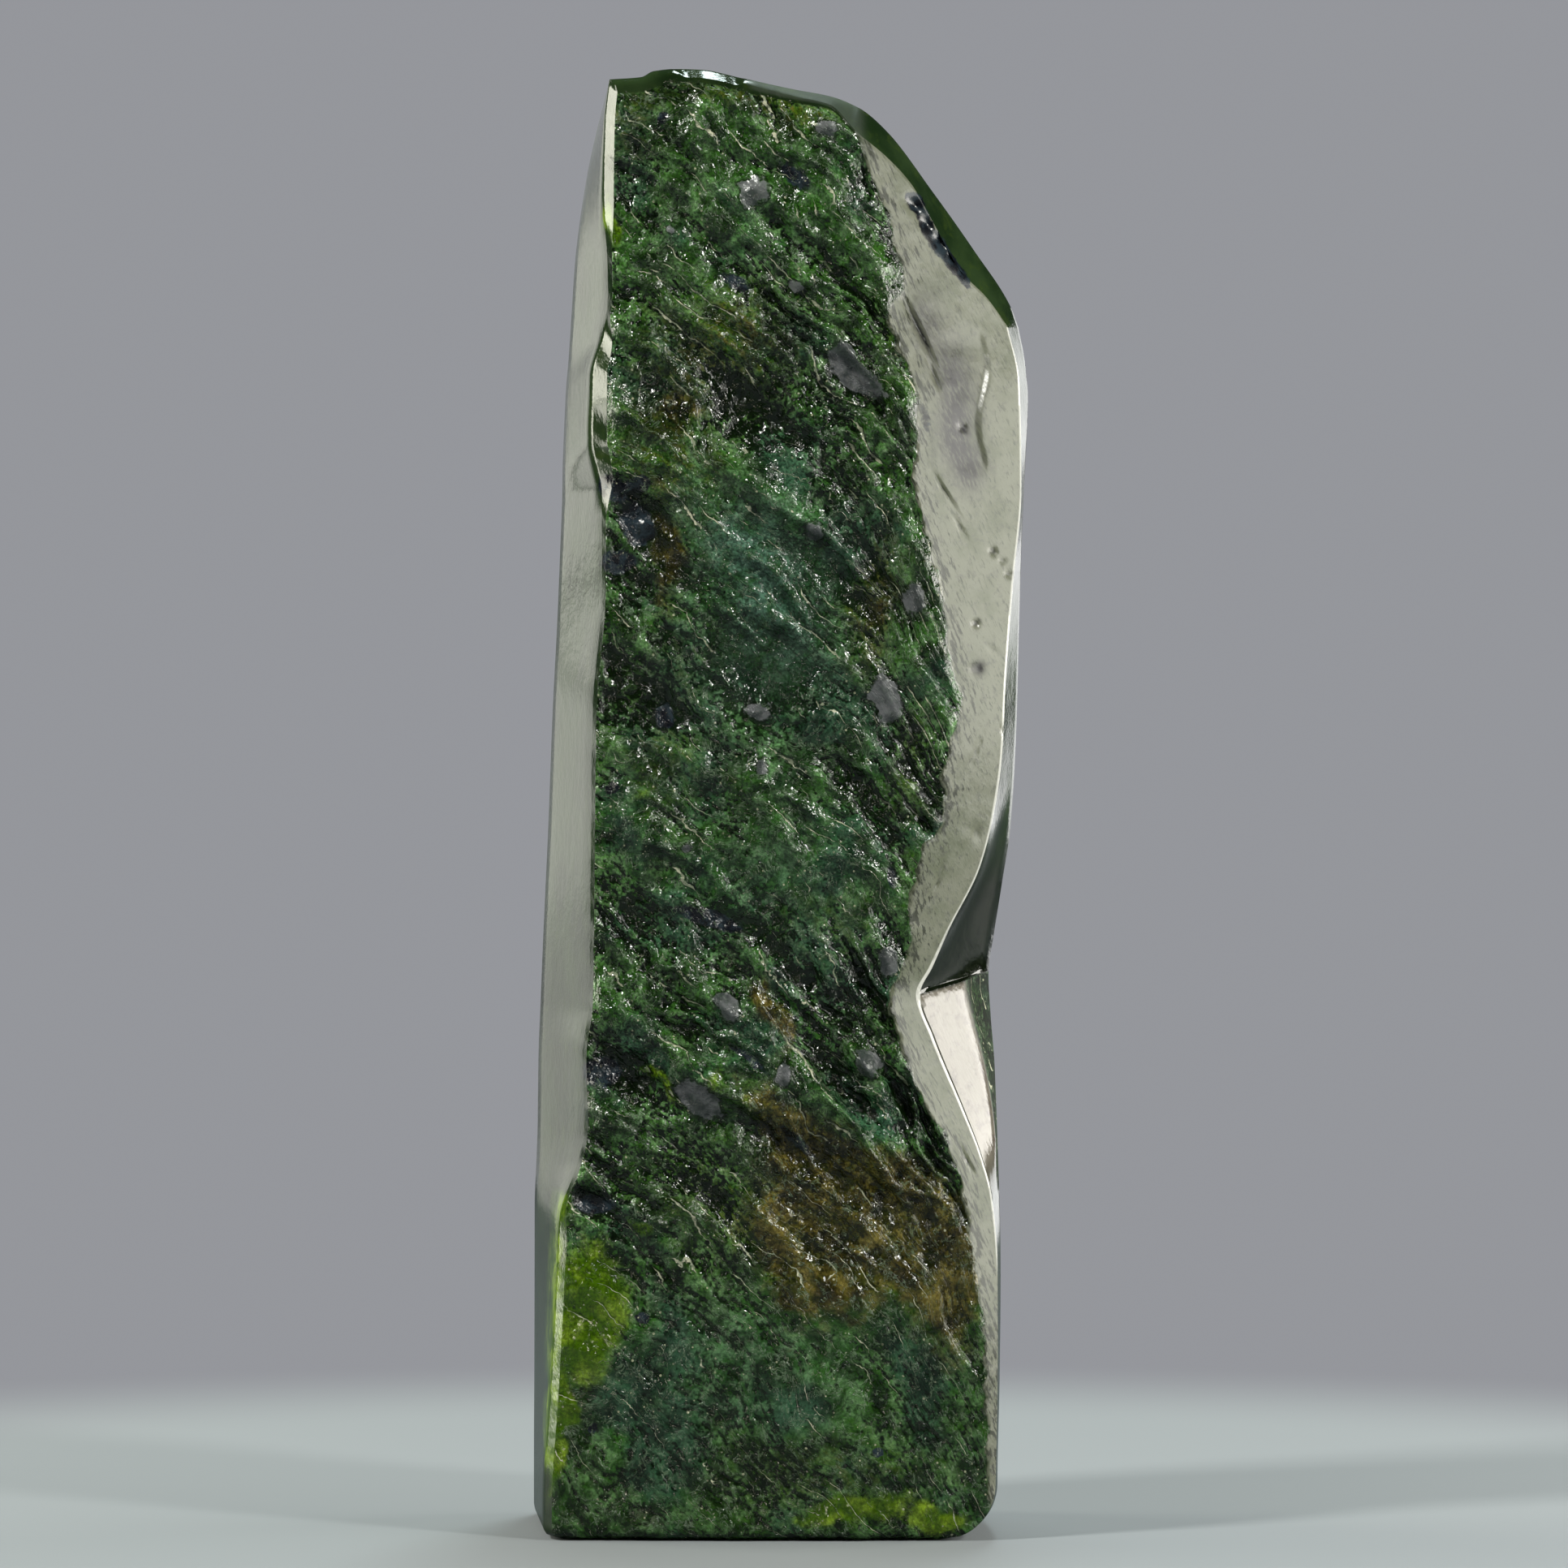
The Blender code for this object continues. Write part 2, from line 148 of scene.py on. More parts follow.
# The polished bevel: how deep it cuts, its ledge, and how far the rind may stand proud of it
BEVEL_CUT = 0.5
BEVEL_RIPPLE = (2.4, 2.4, 0.04, 81.0)
RAGGED_EDGE = ((4, 3.2, 0.9, 77.1), (1.6, 1.4, 0.5, 79.3))
LEDGE_AT = 34.3
LEDGE_SWING = 0.8
LEDGE_WAVE = 3.1
LEDGE_SOFTNESS = 1.2
LEDGE_DEPTH = 0.35
PROUD_AT_EDGE = 0.2
PROUD_SLOPE = 0.3

# The fine mesh: grid lines across, up and from front to back
COLUMNS = 160
ROWS = 380
NEAR_ROWS = 10
NEAR_CROWDING = 1.4
FACET_ROWS = (7 / NEAR_ROWS) ** NEAR_CROWDING
GROOVE_AT = (1 / NEAR_ROWS) ** NEAR_CROWDING
GROOVE_HALF = 0.012
FAR_ROWS = 8
FAR_CROWDING = 1.5
SHARP_ANGLE = math.radians(40)

# Corners of a grid cell, in the order that makes its face look outwards
CELL = ((0, 0), (1, 0), (1, 1), (0, 1))
LEFT_CELL = ((1, 0), (0, 0), (0, 1), (1, 1))
FOOT_CELL = ((0, 0), (0, 1), (1, 1), (1, 0))


def through(points, s):
    """Smooth curve through (s, value) points, with no overshoot between them."""
    knots = np.array(points, dtype=float)
    at, value = knots[:, 0], knots[:, 1]
    step = np.diff(at)
    rise = np.diff(value) / step
    slope = np.zeros(len(at))
    same_way = rise[:-1] * rise[1:] > 0
    mean = 2 * rise[:-1] * rise[1:] / np.where(same_way, rise[:-1] + rise[1:], 1)
    slope[1:-1] = np.where(same_way, mean, 0)
    slope[0], slope[-1] = rise[0], rise[-1]
    s = np.clip(s, at[0], at[-1])
    i = np.clip(np.searchsorted(at, s) - 1, 0, len(step) - 1)
    t = (s - at[i]) / step[i]
    start = value[i] * (2 * t ** 3 - 3 * t ** 2 + 1) + slope[i] * step[i] * (t ** 3 - 2 * t ** 2 + t)
    end = value[i + 1] * (3 * t ** 2 - 2 * t ** 3) + slope[i + 1] * step[i] * (t ** 3 - t ** 2)
    return start + end


def mix(a, b, t):
    return a + (b - a) * t


def smoothstep(low, high, s):
    t = np.clip((s - low) / (high - low), 0, 1)
    return t * t * (3 - 2 * t)


def within(span, s):
    """Soft share: 1 between the inner two of four values, 0 beyond the outer two."""
    return smoothstep(span[0], span[1], s) * (1 - smoothstep(span[2], span[3], s))


def quarter_round(radius, distance):
    """Inset of a rounded edge at a distance from its end."""
    left = np.clip(1 - distance / radius, 0, 1)
    return radius * (1 - np.sqrt(1 - left ** 2))


def field(a, b, seed):
    """Gradient noise over two arrays, about -0.6 to 0.6."""
    flat = [noise.noise((p, q, seed)) for p, q in zip(np.ravel(a), np.ravel(b))]
    return np.array(flat).reshape(np.shape(a))


def lumps_of(form, x, z):
    """Gentle lumps: length across, length up, rise, seed."""
    across, up, rise, seed = form
    return rise * field(x / across, z / up, seed)


def creases(value, sharpness=3.2):
    """Narrow crests where a noise field changes sign."""
    return np.clip(1 - sharpness * np.abs(value), 0, 1)


def spots(forms, x, z):
    """Sum of soft ovals: across, height, half-width, half-height, rise, turn in degrees."""
    total = np.zeros(np.shape(x))
    for fx, fz, half_width, half_height, rise, degrees in forms:
        angle = math.radians(degrees)
        a = ((x - fx) * math.cos(angle) + (z - fz) * math.sin(angle)) / half_width
        b = ((z - fz) * math.cos(angle) - (x - fx) * math.sin(angle)) / half_height
        total = total + rise * np.exp(-1.4 * (a * a + b * b))
    return total


# Relief of the natural rind: the solid's own folds, then the fine wrinkles that only show close to

FLOW = math.radians(41)
STEEPER_FROM = 8
STEEPER_OVER = 30
ROUGHNESS = (
    (0, 0.2), (30, 0.3), (48, 0.55), (62, 1.1), (85, 1.25), (110, 0.8), (150, 0.75), (190, 1.1), (250, 0.9),
)
ROUGHEST = 1.25
WANDER = ((34, 5, 3.1), (12, 1.6, 9.4))
SWIRL = ((12, 2.6, 0), (4.5, 0.9, 1.3))
WRINKLES = ((11, 46, 1.4, 17.3), (6.4, 26, 0.9, 41.7))
RIND_LUMPS = (15, 17, 1.8, 57.9)
RIND_LEVEL = 0.6
NODULE_RISE = 0.5
FINE_LEVEL = 0.4
FINE_LEAST = 0.12
FRONT_SEED = 23.0
BACK_SEED = 64.0
BACK_FOLDS = 0.7
BACK_LUMPS = ((30, 36, 2.6, 71.3), (13, 22, 1.6, 83.7))
BACK_LUMPS_FROM = 25
PITS = (
    (30.7, 189.2, 0.9, 0.9, -0.4, 0), (32.9, 155.6, 0.8, 0.8, -0.5, 0), (32.9, 147.8, 1.5, 1.5, -0.35, 0),
    (36.0, 168.0, 0.7, 0.9, -0.5, 30), (37.6, 166.4, 0.7, 0.6, -0.4, 0), (38.6, 164.2, 0.8, 0.7, -0.4, 0),
    (35.8, 151.2, 2.4, 0.35, -0.25, -40), (38, 137.4, 0.7, 0.8, -0.6, 0), (33.1, 119.9, 0.8, 1.6, -0.3, 0),
    (22.5, 227, 1.5, 1.1, -0.9, -45), (24.6, 224, 1.3, 1, -0.8, -50), (27, 221, 1.6, 1.1, -0.9, -52),
    (29.2, 218.2, 1.2, 0.9, -0.8, -50), (31, 216.2, 1.1, 0.8, -0.7, -50),
    (22.4, 207, 5.5, 0.4, -0.5, -66), (24.4, 203.5, 5, 0.35, -0.5, -66), (25.8, 198, 3.6, 0.35, -0.4, -70),
    (27.6, 178, 5, 0.35, -0.35, -58), (30.2, 172, 4, 0.3, -0.3, -60), (26.4, 112, 4, 0.3, -0.3, 72),
    (28.6, 140, 5, 0.3, -0.3, -75), (33, 134, 5, 0.25, -0.25, 70), (31.5, 64, 4, 0.3, -0.3, -62),
)
FORMS = (
    (-32, 38, 7, 13, 0.9, 0), (-31.5, 57.5, 6, 3.2, -1.5, -8), (-22, 75.5, 14, 3.4, -1.6, -22),
    (-21, 83, 13, 3.2, 1.4, -33), (-14, 70, 9, 3.4, 1.2, -28), (0, 87, 11, 3.2, 1.5, -57),
    (8, 72, 15, 3, 1.5, -36), (2, 65, 13, 3.2, -1.2, -36), (17, 63, 14, 3, 1.4, -40),
    (10.5, 57, 3, 7, -1.3, -12), (11, 41, 9, 7, 1.0, 0), (14.2, 81, 3, 3.6, 1.3, 0),
    (20, 76, 3, 10, -1.2, 35), (-12, 105, 11, 3.2, -1.6, -20), (1, 118, 14, 2.6, 1.5, -62),
    (-20, 140, 5, 4.5, -1.6, 0), (-25, 174, 6, 9, -1.7, 15), (-3, 152, 13, 15, -0.4, 0),
    (-4, 177, 13, 2.6, 1.6, -41), (4, 186, 12, 2.6, -1.0, -45), (14, 197, 8, 4, -1.9, -35),
    (20.6, 206.5, 3.6, 4, -1.8, 0), (18, 186, 12, 2.6, 1.5, -55), (25, 150, 5, 14, 1.3, 10),
    (17.5, 143, 3.4, 5.5, -1.6, 15), (21, 165, 4, 7, 1.2, -20), (8, 226, 16, 2.8, 1.5, -55),
    (15, 217, 14, 2.8, 1.2, -62), (-4, 228, 4.5, 4.5, 1.4, 0), (-20, 213, 9, 12, 1.0, 0),
    (18.5, 101, 3, 6, -1.3, 0),
)


def flow(x, z):
    """Coordinates across and along the wrinkles."""
    bent = x + np.clip(x - STEEPER_FROM, 0, None) ** 2 / STEEPER_OVER
    across = bent * math.sin(FLOW) + z * math.cos(FLOW)
    for length, reach, seed in WANDER:
        across = across + reach * field(x / length, z / length, seed)
    along = x * math.cos(FLOW) - z * math.sin(FLOW)
    return across, along


def swirl(x, z, seed):
    """The flow's coordinates, wandering more at a small scale."""
    across, along = flow(x, z)
    for length, reach, step in SWIRL:
        across = across + reach * field(x / length, z / length, seed + step)
    return across, along


def relief(x, z):
    """Height of the rind over its smooth face: flowing wrinkles, lumps, ledges and pits."""
    across, along = flow(x, z)
    height = lumps_of(RIND_LUMPS, x, z) - RIND_LEVEL
    for width, length, rise, seed in WRINKLES:
        height = height + rise * creases(field(across / width, along / length, seed))
    return through(ROUGHNESS, z) * height + spots(FORMS, x, z)


def fine_relief(x, z, seed):
    """Wrinkles too fine for the solid: thin swirling ridges in some places, a crumpled skin everywhere."""
    across, along = swirl(x, z, seed)
    thin = field(across / 4.2, along / 19, seed + 5.2)
    some = smoothstep(-0.25, 0.1, field(x / 16, z / 16, seed + 6.6))
    thin = thin + (1 - some) * np.sign(thin) * 0.3
    crumple = creases(field(x / 2.9, z / 2.9, seed + 2.7), 3.5)
    grit = field(x / 1.6, z / 1.6, seed + 7.9)
    height = 1.25 * creases(thin, 5) + 0.3 * crumple + 0.45 * grit - FINE_LEVEL
    return (FINE_LEAST + through(ROUGHNESS, z)) * height


# Front and back faces

def rind_swell(x, z, from_top):
    """Height of the whole rind, calmer on nodules, on the pale lime foot edge, whose paleness is partly a
    painted glow of light through the thin edge, and towards the outline.
    """
    from_left = x - through(LEFT_EDGE, z) - through(LEFT_ROUND, z)
    nodule = np.clip(spots(NODULES, x, z), 0, 1)
    lime_glow_edge = np.clip(spots(LIME_AND_GLOW[:1], x, z), 0, 1)
    wrinkles = fine_relief(x, z, FRONT_SEED) * (1 - nodule) * (1 - 0.8 * lime_glow_edge)
    swell = relief(x, z) + wrinkles + NODULE_RISE * nodule
    near_top = mix(0.15, 1, smoothstep(0.2, 3.2, from_top))
    return swell * near_top * mix(0.3, 1, smoothstep(0, 1.6, from_left))


def front_depth(x, z):
    """Front face: its depth, the smooth depth under the rind, and where rind, swell and verge are."""
    face = FRONT_PLANE + FRONT_LEAN * (z / FRONT_LEFT_TOP) ** 2 + FRONT_CROWN * (x / HALF_WIDTH) ** 2
    from_top = through(TOP_FRONT, x) - z
    swell = rind_swell(x, z, from_top)
    rind = face - swell

    line = through(BEVEL_LINE, z)
    edge = through(BEVEL_EDGE, z)
    for lumps in RAGGED_EDGE:
        edge = edge + lumps_of(lumps, x, z)
    bevel = face - BEVEL_CUT + BEVEL_SLOPE * (x - line)
    past_ledge = (x - LEDGE_AT - LEDGE_SWING * np.sin(z / LEDGE_WAVE)) / LEDGE_SOFTNESS
    before_ledge = smoothstep(25, 33, x) * smoothstep(0.5, -0.5, past_ledge)
    bevel = bevel + LEDGE_DEPTH * before_ledge * within(LEDGE_HEIGHTS, z)
    bevel = bevel + lumps_of(BEVEL_RIPPLE, x, z)

    proud_most = PROUD_AT_EDGE + PROUD_SLOPE * np.clip(edge - x, 0, None)
    trimmed = np.maximum(rind, bevel - proud_most)
    over_bevel = smoothstep(line + 0.5, line + 2.5, x)
    trimmed = mix(trimmed, np.minimum(trimmed, bevel - 0.1), over_bevel)
    rind = np.where(x > line - 3, trimmed, rind)
    cut = smoothstep(edge - 0.6, edge + 0.5, x)
    depth = mix(rind, bevel, cut) + quarter_round(FOOT_ROUND, z)
    smooth = mix(face, bevel, cut) + quarter_round(FOOT_ROUND, z)
    natural = (1 - cut) * smoothstep(0.4, 1.3, from_top)
    verge = cut * smoothstep(7, 0, x - edge)
    return depth, smooth, natural, mix(swell, 0, cut), verge


def back_depth(x, z):
    """Back face: leaning in towards the top, crowned, with low broad lumps."""
    face = mix(BACK_AT_FOOT, BACK_AT_TOP, (z / FRONT_LEFT_TOP) ** 1.5) - BACK_CROWN * (x / HALF_WIDTH) ** 2
    lumps = lumps_of(BACK_LUMPS[0], x, z) + lumps_of(BACK_LUMPS[1], x, z)
    return face + lumps * smoothstep(0, BACK_LUMPS_FROM, z) - quarter_round(FOOT_ROUND, z)


# Outlines at each depth

def patch(left, right, top, bottom, u, v):
    """Surface point between four border curves, each an (across, height) pair of arrays."""
    corners = []
    for k in range(2):
        low_left, low_right = left[k][0], right[k][0]
        high_left, high_right = left[k][1], right[k][1]
        sides = mix(left[k][2], right[k][2], u)
        ends = mix(bottom[k], top[k], v)
        fold = mix(mix(low_left, low_right, u), mix(high_left, high_right, u), v)
        corners.append(sides + ends - fold)
    return corners


def outline(borders, left_heights, right_heights, insets, u, v):
    """Front view of the stone at one depth, filled in between its borders.

    The borders are the left, right and top curves. Each moves in by its inset, the left one's by height.
    """
    left_curve, right_curve, top_curve = borders
    inset_left, inset_right, inset_top = insets
    left_x = [through(left_curve, h) + inset_left(h) for h in left_heights]
    left_x = [x + quarter_round(LEFT_CORNER_ROUND, h) for x, h in zip(left_x, left_heights)]
    right_x = [through(right_curve, h) - inset_right for h in right_heights]
    right_x = [x - quarter_round(RIGHT_CORNER_ROUND, h) for x, h in zip(right_x, right_heights)]
    top_x = mix(left_x[1], right_x[1], u)
    top_z = through(top_curve, top_x) - inset_top
    error_left = left_heights[1] - (through(top_curve, left_x[1]) - inset_top)
    error_right = right_heights[1] - (through(top_curve, right_x[1]) - inset_top)
    top_z = top_z + mix(error_left, error_right, u)
    foot_x = mix(left_x[0], right_x[0], u)
    return patch((left_x, left_heights), (right_x, right_heights), (top_x, top_z), (foot_x, 0 * u), u, v)


def rows_to_height(v, middle, top):
    """Height of a row on the right, where one row always meets the notch."""
    low = middle * v / NOTCH_ROW
    high = mix(middle, top, (v - NOTCH_ROW) / (1 - NOTCH_ROW))
    return np.where(v < NOTCH_ROW, low, high)


def left_round(height):
    """How far the rounded left edge draws in at a height."""
    return through(LEFT_ROUND, height)


def square(height):
    """No inset at any height."""
    return 0 * height


def outlines(u, v, far):
    """Front, side and rear outlines at shares across and up, each as (across, height)."""
    right_front = rows_to_height(v, NOTCH_FRONT, FRONT_RIGHT_TOP)
    right_side = rows_to_height(v, NOTCH_SIDE, FRONT_RIGHT_TOP)
    front = outline((LEFT_EDGE, RIM, TOP_FRONT), (0, FRONT_LEFT_TOP, v * FRONT_LEFT_TOP),
                    (0, FRONT_RIGHT_TOP, right_front), (left_round, 0, 0), u, v)
    side_top = FRONT_LEFT_TOP + TOP_ROUND
    side = outline((LEFT_EDGE, RIGHT_SIDE, TOP_RIDGE), (0, side_top, v * side_top),
                   (0, FRONT_RIGHT_TOP, right_side), (square, 0, 0), u, v)
    inset = quarter_round(REAR_ROUND, (1 - far) * (BACK_AT_FOOT - FRONT_PLANE) * (1 - SIDE_SHARE))
    drawn_in = inset + REAR_TAPER * far
    rear_top = side_top - drawn_in

    def rear_left(height):
        return inset

    rear_right = right_side * (1 - inset / FRONT_RIGHT_TOP)
    rear = outline((REAR_LEFT_EDGE, RIGHT_SIDE, TOP_RIDGE), (0 * rear_top, rear_top, v * rear_top),
                   (0 * inset, FRONT_RIGHT_TOP - inset, rear_right), (rear_left, drawn_in, drawn_in), u, v)
    return front, side, rear


def turned(u, v, near, front, facet):
    """How far a point has moved from the front outline to the side one, across and in depth."""
    bend = mix(*FACET_BENDS, smoothstep(64, NOTCH_FRONT, front[1]))
    facet_x = np.interp(near, (0, FACET_ROWS, 1), (0, 1, 2))
    facet_x = np.where(facet_x < 1, facet_x * bend, mix(bend, 1, facet_x - 1))
    facet_y = np.interp(near, (0, FACET_ROWS, 1), (0, FACET_DEPTH, 1))
    rounded = (v > ALMOST) * (1 - smoothstep(0.3, 0.6, u)) * (1 - within(CHAMFER_WIDTHS, front[0]))
    turn_x = mix(near, np.sqrt(2 * near - near ** 2), rounded)
    return mix(turn_x, facet_x, facet), mix(near, facet_y, facet)


def place(u, w, v):
    """Where a point of a unit cube's skin lies on the stone, and the zones it belongs to."""
    near = np.clip(w / SIDE_SHARE, 0, 1)
    far = np.clip((w - SIDE_SHARE) / (1 - SIDE_SHARE), 0, 1)
    at_front = w < TINY
    at_back = w > 1 - TINY
    front, side, rear = outlines(u, v, far)
    height = front[1]
    on_right = (u > ALMOST) * (v < ALMOST)
    below_notch = on_right * (height < NOTCH_FRONT + 0.01)
    above_notch = on_right * (height > NOTCH_FRONT - 0.01)

    facet = below_notch * smoothstep(56, 66, height)
    turn_x, turn_y = turned(u, v, near, front, facet)
    x = np.where(far > 0, mix(side[0], rear[0], far), mix(front[0], side[0], turn_x))
    z = np.where(far > 0, mix(side[1], rear[1], far), mix(front[1], side[1], turn_x))
    belly = on_right * 4 * near * (1 - near) * (far == 0)
    from_groove = (near - GROOVE_AT) / (0.6 * GROOVE_HALF)
    groove = facet * np.exp(-from_groove ** 2) * (1 - smoothstep(88, 92, height))
    x = x - belly * SCOOP_HOLLOW * within(SCOOP_HEIGHTS, height) - GROOVE * groove

    face_y, smooth_y, natural, swell, verge = front_depth(front[0], front[1])
    side_y = smooth_y + mix(ROUND_DEPTH, through(SIDE_DEPTH, front[1]), u)
    rear_y = back_depth(rear[0], rear[1])
    pits = at_front * (1 - natural) * spots(PITS, front[0], front[1])
    near_y = mix(face_y - pits, side_y, turn_y) + GROOVE * groove
    back_folds = BACK_FOLDS * fine_relief(-x, z, BACK_SEED) * at_back * smoothstep(2, 10, z)
    y = np.where(far > 0, mix(side_y, rear_y, far), near_y) + back_folds

    ragged = 0.5 * field(x / 4, z / 4, 5.5)
    rough_from = height + 14 * field(y / 9, z / 9, 8.1) + 6 * field(y / 3, z / 3, 8.9)
    rough_side = below_notch * smoothstep(54, 58, rough_from) * (near > FACET_ROWS + 0.01)
    behind = smoothstep(0.9, 0.97, far + 0.05 * ragged)
    dull_top = 0.7 * (v > ALMOST) * within(DULL_TOP_WIDTHS, x)
    raised = np.where(at_front, swell + 2.5 * pits, back_folds) - 2.5 * groove
    zones = {
        "rind": np.where(at_front, natural, np.maximum(rough_side, behind)),
        # Height over the smooth face, which the material paints as shade in the hollows and as highlights
        # on the crests
        "crest": np.clip(0.5 + 0.2 * raised, 0, 1),
        "bevel": at_front * smoothstep(0.5, 0.1, natural) * smoothstep(12, 16, front[0]),
        "cream": facet * (near < FACET_ROWS + 0.01) * (1 - smoothstep(0.5, 0.9, groove)),
        "verge": at_front * verge,
        "scoop": above_notch * (1 - smoothstep(106, 124, height)) * (near > 0.02),
        "even": np.where(at_front + at_back, 0, 0.75),
        "matte": np.maximum(rough_side, dull_top),
        "rim_highlight": on_right * smoothstep(0.06, 0.02, near) * smoothstep(40, 52, height) * (far == 0),
        "rough": np.clip(through(ROUGHNESS, z) / ROUGHEST, 0, 1),
    }
    return np.stack([x, y, z], axis=1), zones


# The mesh: the skin of a grid of cells, half as fine on the back

def lines_up():
    """Heights of the grid's rows, as shares of the height, with one row at the notch."""
    below = round(ROWS * NOTCH_ROW / 2) * 2
    above = ROWS - below
    low = [NOTCH_ROW * k / below for k in range(below + 1)]
    return low + [mix(NOTCH_ROW, 1, (k + 1) / above) for k in range(above)]


def lines_back():
    """Depths of the grid's lines, as shares of the depth, crowded near the front and the rear edge."""
    depths = [SIDE_SHARE * (i / NEAR_ROWS) ** NEAR_CROWDING for i in range(NEAR_ROWS)]
    depths += [SIDE_SHARE * (GROOVE_AT - GROOVE_HALF), SIDE_SHARE * (GROOVE_AT + GROOVE_HALF)]
    depths.sort()
    steps = [1 - (1 - i / FAR_ROWS) ** FAR_CROWDING for i in range(FAR_ROWS + 1)]
    return depths + [mix(SIDE_SHARE, 1, step) for step in steps]


def skin():
    """Lattice points of a cube's skin as (across, depth, height) shares, and its faces as point numbers."""
    depths = lines_back()
    heights = lines_up()
    last = len(depths) - 1
    number, points, faces = {}, [], []

    def point(i, j, k):
        if (i, j, k) not in number:
            number[i, j, k] = len(points)
            points.append((i / COLUMNS, depths[j], heights[k]))
        return number[i, j, k]

    for i in range(COLUMNS):
        for k in range(ROWS):
            faces.append([point(i + a, 0, k + b) for a, b in CELL])
    for j in range(last):
        for k in range(ROWS):
            faces.append([point(0, j + a, k + b) for a, b in LEFT_CELL])
            faces.append([point(COLUMNS, j + a, k + b) for a, b in CELL])
        for i in range(COLUMNS):
            faces.append([point(i + a, j + b, 0) for a, b in FOOT_CELL])
            faces.append([point(i + a, j + b, ROWS) for a, b in CELL])
    for i in range(0, COLUMNS, 2):
        for k in range(0, ROWS, 2):
            ring = [(i + 2, k), (i, k), (i, k + 2), (i + 2, k + 2)]
            middles = [(i + 1, k), (i, k + 1), (i + 1, k + 2), (i + 2, k + 1)]
            on_edges = [k == 0, i == 0, k + 2 == ROWS, i + 2 == COLUMNS]
            whole = []
            for corner, middle, on_edge in zip(ring, middles, on_edges):
                whole.append(corner)
                if on_edge:
                    whole.append(middle)
            faces.append([point(a, last, b) for a, b in whole])
    return np.array(points), faces


# Where the stone's colours lie on its front, in the same form as the relief's shapes

OCHRE = (
    (12, 64, 17, 5, 0.9, -33), (9, 46, 13, 11, 1.0, 0), (28, 45, 7, 16, 1.0, 0),
    (20, 57, 10, 8, 0.7, -35), (-1, 88, 2.2, 7, 1.0, 24), (-1, 72, 6, 9, 0.6, 25),
    (-20, 168, 3.4, 12, 0.8, 0), (2, 57, 12, 12, 0.6, 0), (-19, 192, 5, 6, 0.6, 0),
    (16, 156, 3, 9, 0.5, -15), (-8, 205, 4, 7, 0.35, 0),
)
# Lime-green stone; the spots at the foot and the lower left edge are partly a painted glow of light through
# the thin edges
LIME_AND_GLOW = (
    (-40, 32, 2.2, 26, 1.5, 0), (-34, 42, 3, 12, 0.5, 0), (-32, 38, 6.2, 13, 1.3, 0),
    (-23, 53, 3, 2, 0.9, 0), (-29, 224, 1.6, 6, 1.0, 0), (-22, 77, 1.6, 7, 0.8, 50),
    (11, 5, 10, 3.2, 1.1, 4), (26, 3, 7, 2.5, 1.0, 0), (-38, 22, 1.8, 9, 1.1, 0),
    (-38, 56, 2.5, 4, 0.8, 0), (-23, 126, 5, 3, 0.4, 0), (-11, 78, 3, 6, 0.5, 20),
    (30, 20, 3, 20, 0.25, 0),
)
TEAL = (
    (-2, 158, 16, 22, 0.9, 0), (-8, 170, 14, 8, 0.5, -40), (-2, 110, 16, 12, 0.4, 0),
    (-8, 30, 22, 14, 0.3, 0),
)
NODULES = (
    (-4.7, 228.6, 2.9, 2.9, 1.3, 0), (7.6, 239.8, 2.2, 2, 1.3, 0), (20.6, 206.5, 2.9, 3.6, 1.3, 0),
    (12.8, 197.2, 6, 2.6, 1.4, -33), (10.5, 201, 1.8, 2.5, 1.2, 0), (6, 171.5, 1.9, 1.9, 1.1, 0),
    (22.5, 159.5, 2.6, 3, 1.3, 0), (17.4, 143, 2.4, 5.4, 1.4, 15), (-4.4, 140.5, 3.2, 2.4, 0.9, 0),
    (-3.7, 131.5, 1.4, 2.4, 1, 0), (18.1, 98.2, 2.1, 3.6, 1.3, 10), (14.2, 81, 2.7, 2.7, 1.3, 0),
    (0.6, 79.3, 1.9, 2.4, 1.2, 0), (-9.2, 90.5, 2.8, 2.2, 1.2, -30), (-14, 75, 5.8, 2.6, 1.3, -35),
    (-16, 118, 1.2, 1, 1, 0), (3, 213, 1.6, 1.2, 1, -40), (-19, 222, 1.2, 1, 1, 0),
)
SLATE = (
    (-29, 178.5, 3, 2.4, 1.3, 0), (-24.6, 172.5, 3.2, 4.4, 1.4, 20), (-27.5, 165.5, 3.6, 2.6, 1.2, 0),
    (-24, 179.5, 2, 1.6, 1.2, 0), (-8, 213, 5, 2.2, 0.8, -40), (2, 231, 5, 2, 0.9, -45),
    (-19.7, 139.5, 2.2, 3, 1.1, 20), (-29, 127.2, 1.8, 1.5, 1.0, 0), (-12.6, 105.5, 7.5, 1.8, 1.2, -22),
    (-31, 79.5, 4.4, 3.6, 1.3, 0), (-31.5, 57, 4.6, 1.9, 1.3, 0), (-24, 37.8, 1.7, 1.3, 1.1, 0),
    (16.4, 15.3, 1.4, 1.1, 1.1, 0), (-32.7, 19, 1.2, 1.2, 1.0, 0), (2.5, 68, 7, 1.4, 0.8, -40),
    (-6, 82, 6, 1.4, 0.8, -35), (24, 190, 2, 6, 0.6, 20), (19, 112, 1.6, 5, 0.7, 10),
    (-20, 241, 1.6, 1.4, 1, 0), (22.2, 227, 2.4, 1.9, 1.3, -45), (24.4, 223.6, 2.3, 1.7, 1.3, -50),
    (27, 220.2, 2.8, 1.9, 1.3, -52), (29.4, 217.2, 2.3, 1.6, 1.2, -50), (31.4, 214.8, 2.0, 1.3, 1.1, -50),
)
STAIN = (
    (29.5, 199, 4.4, 7, 1.0, 10), (30, 189, 4.4, 7, 1.1, 0), (32, 182, 3, 5, 0.9, 0),
    (25, 208, 3, 6, 0.7, 0), (33, 148, 1.6, 1.6, 1, 0), (30.7, 189.2, 1, 1, 1.1, 0),
)
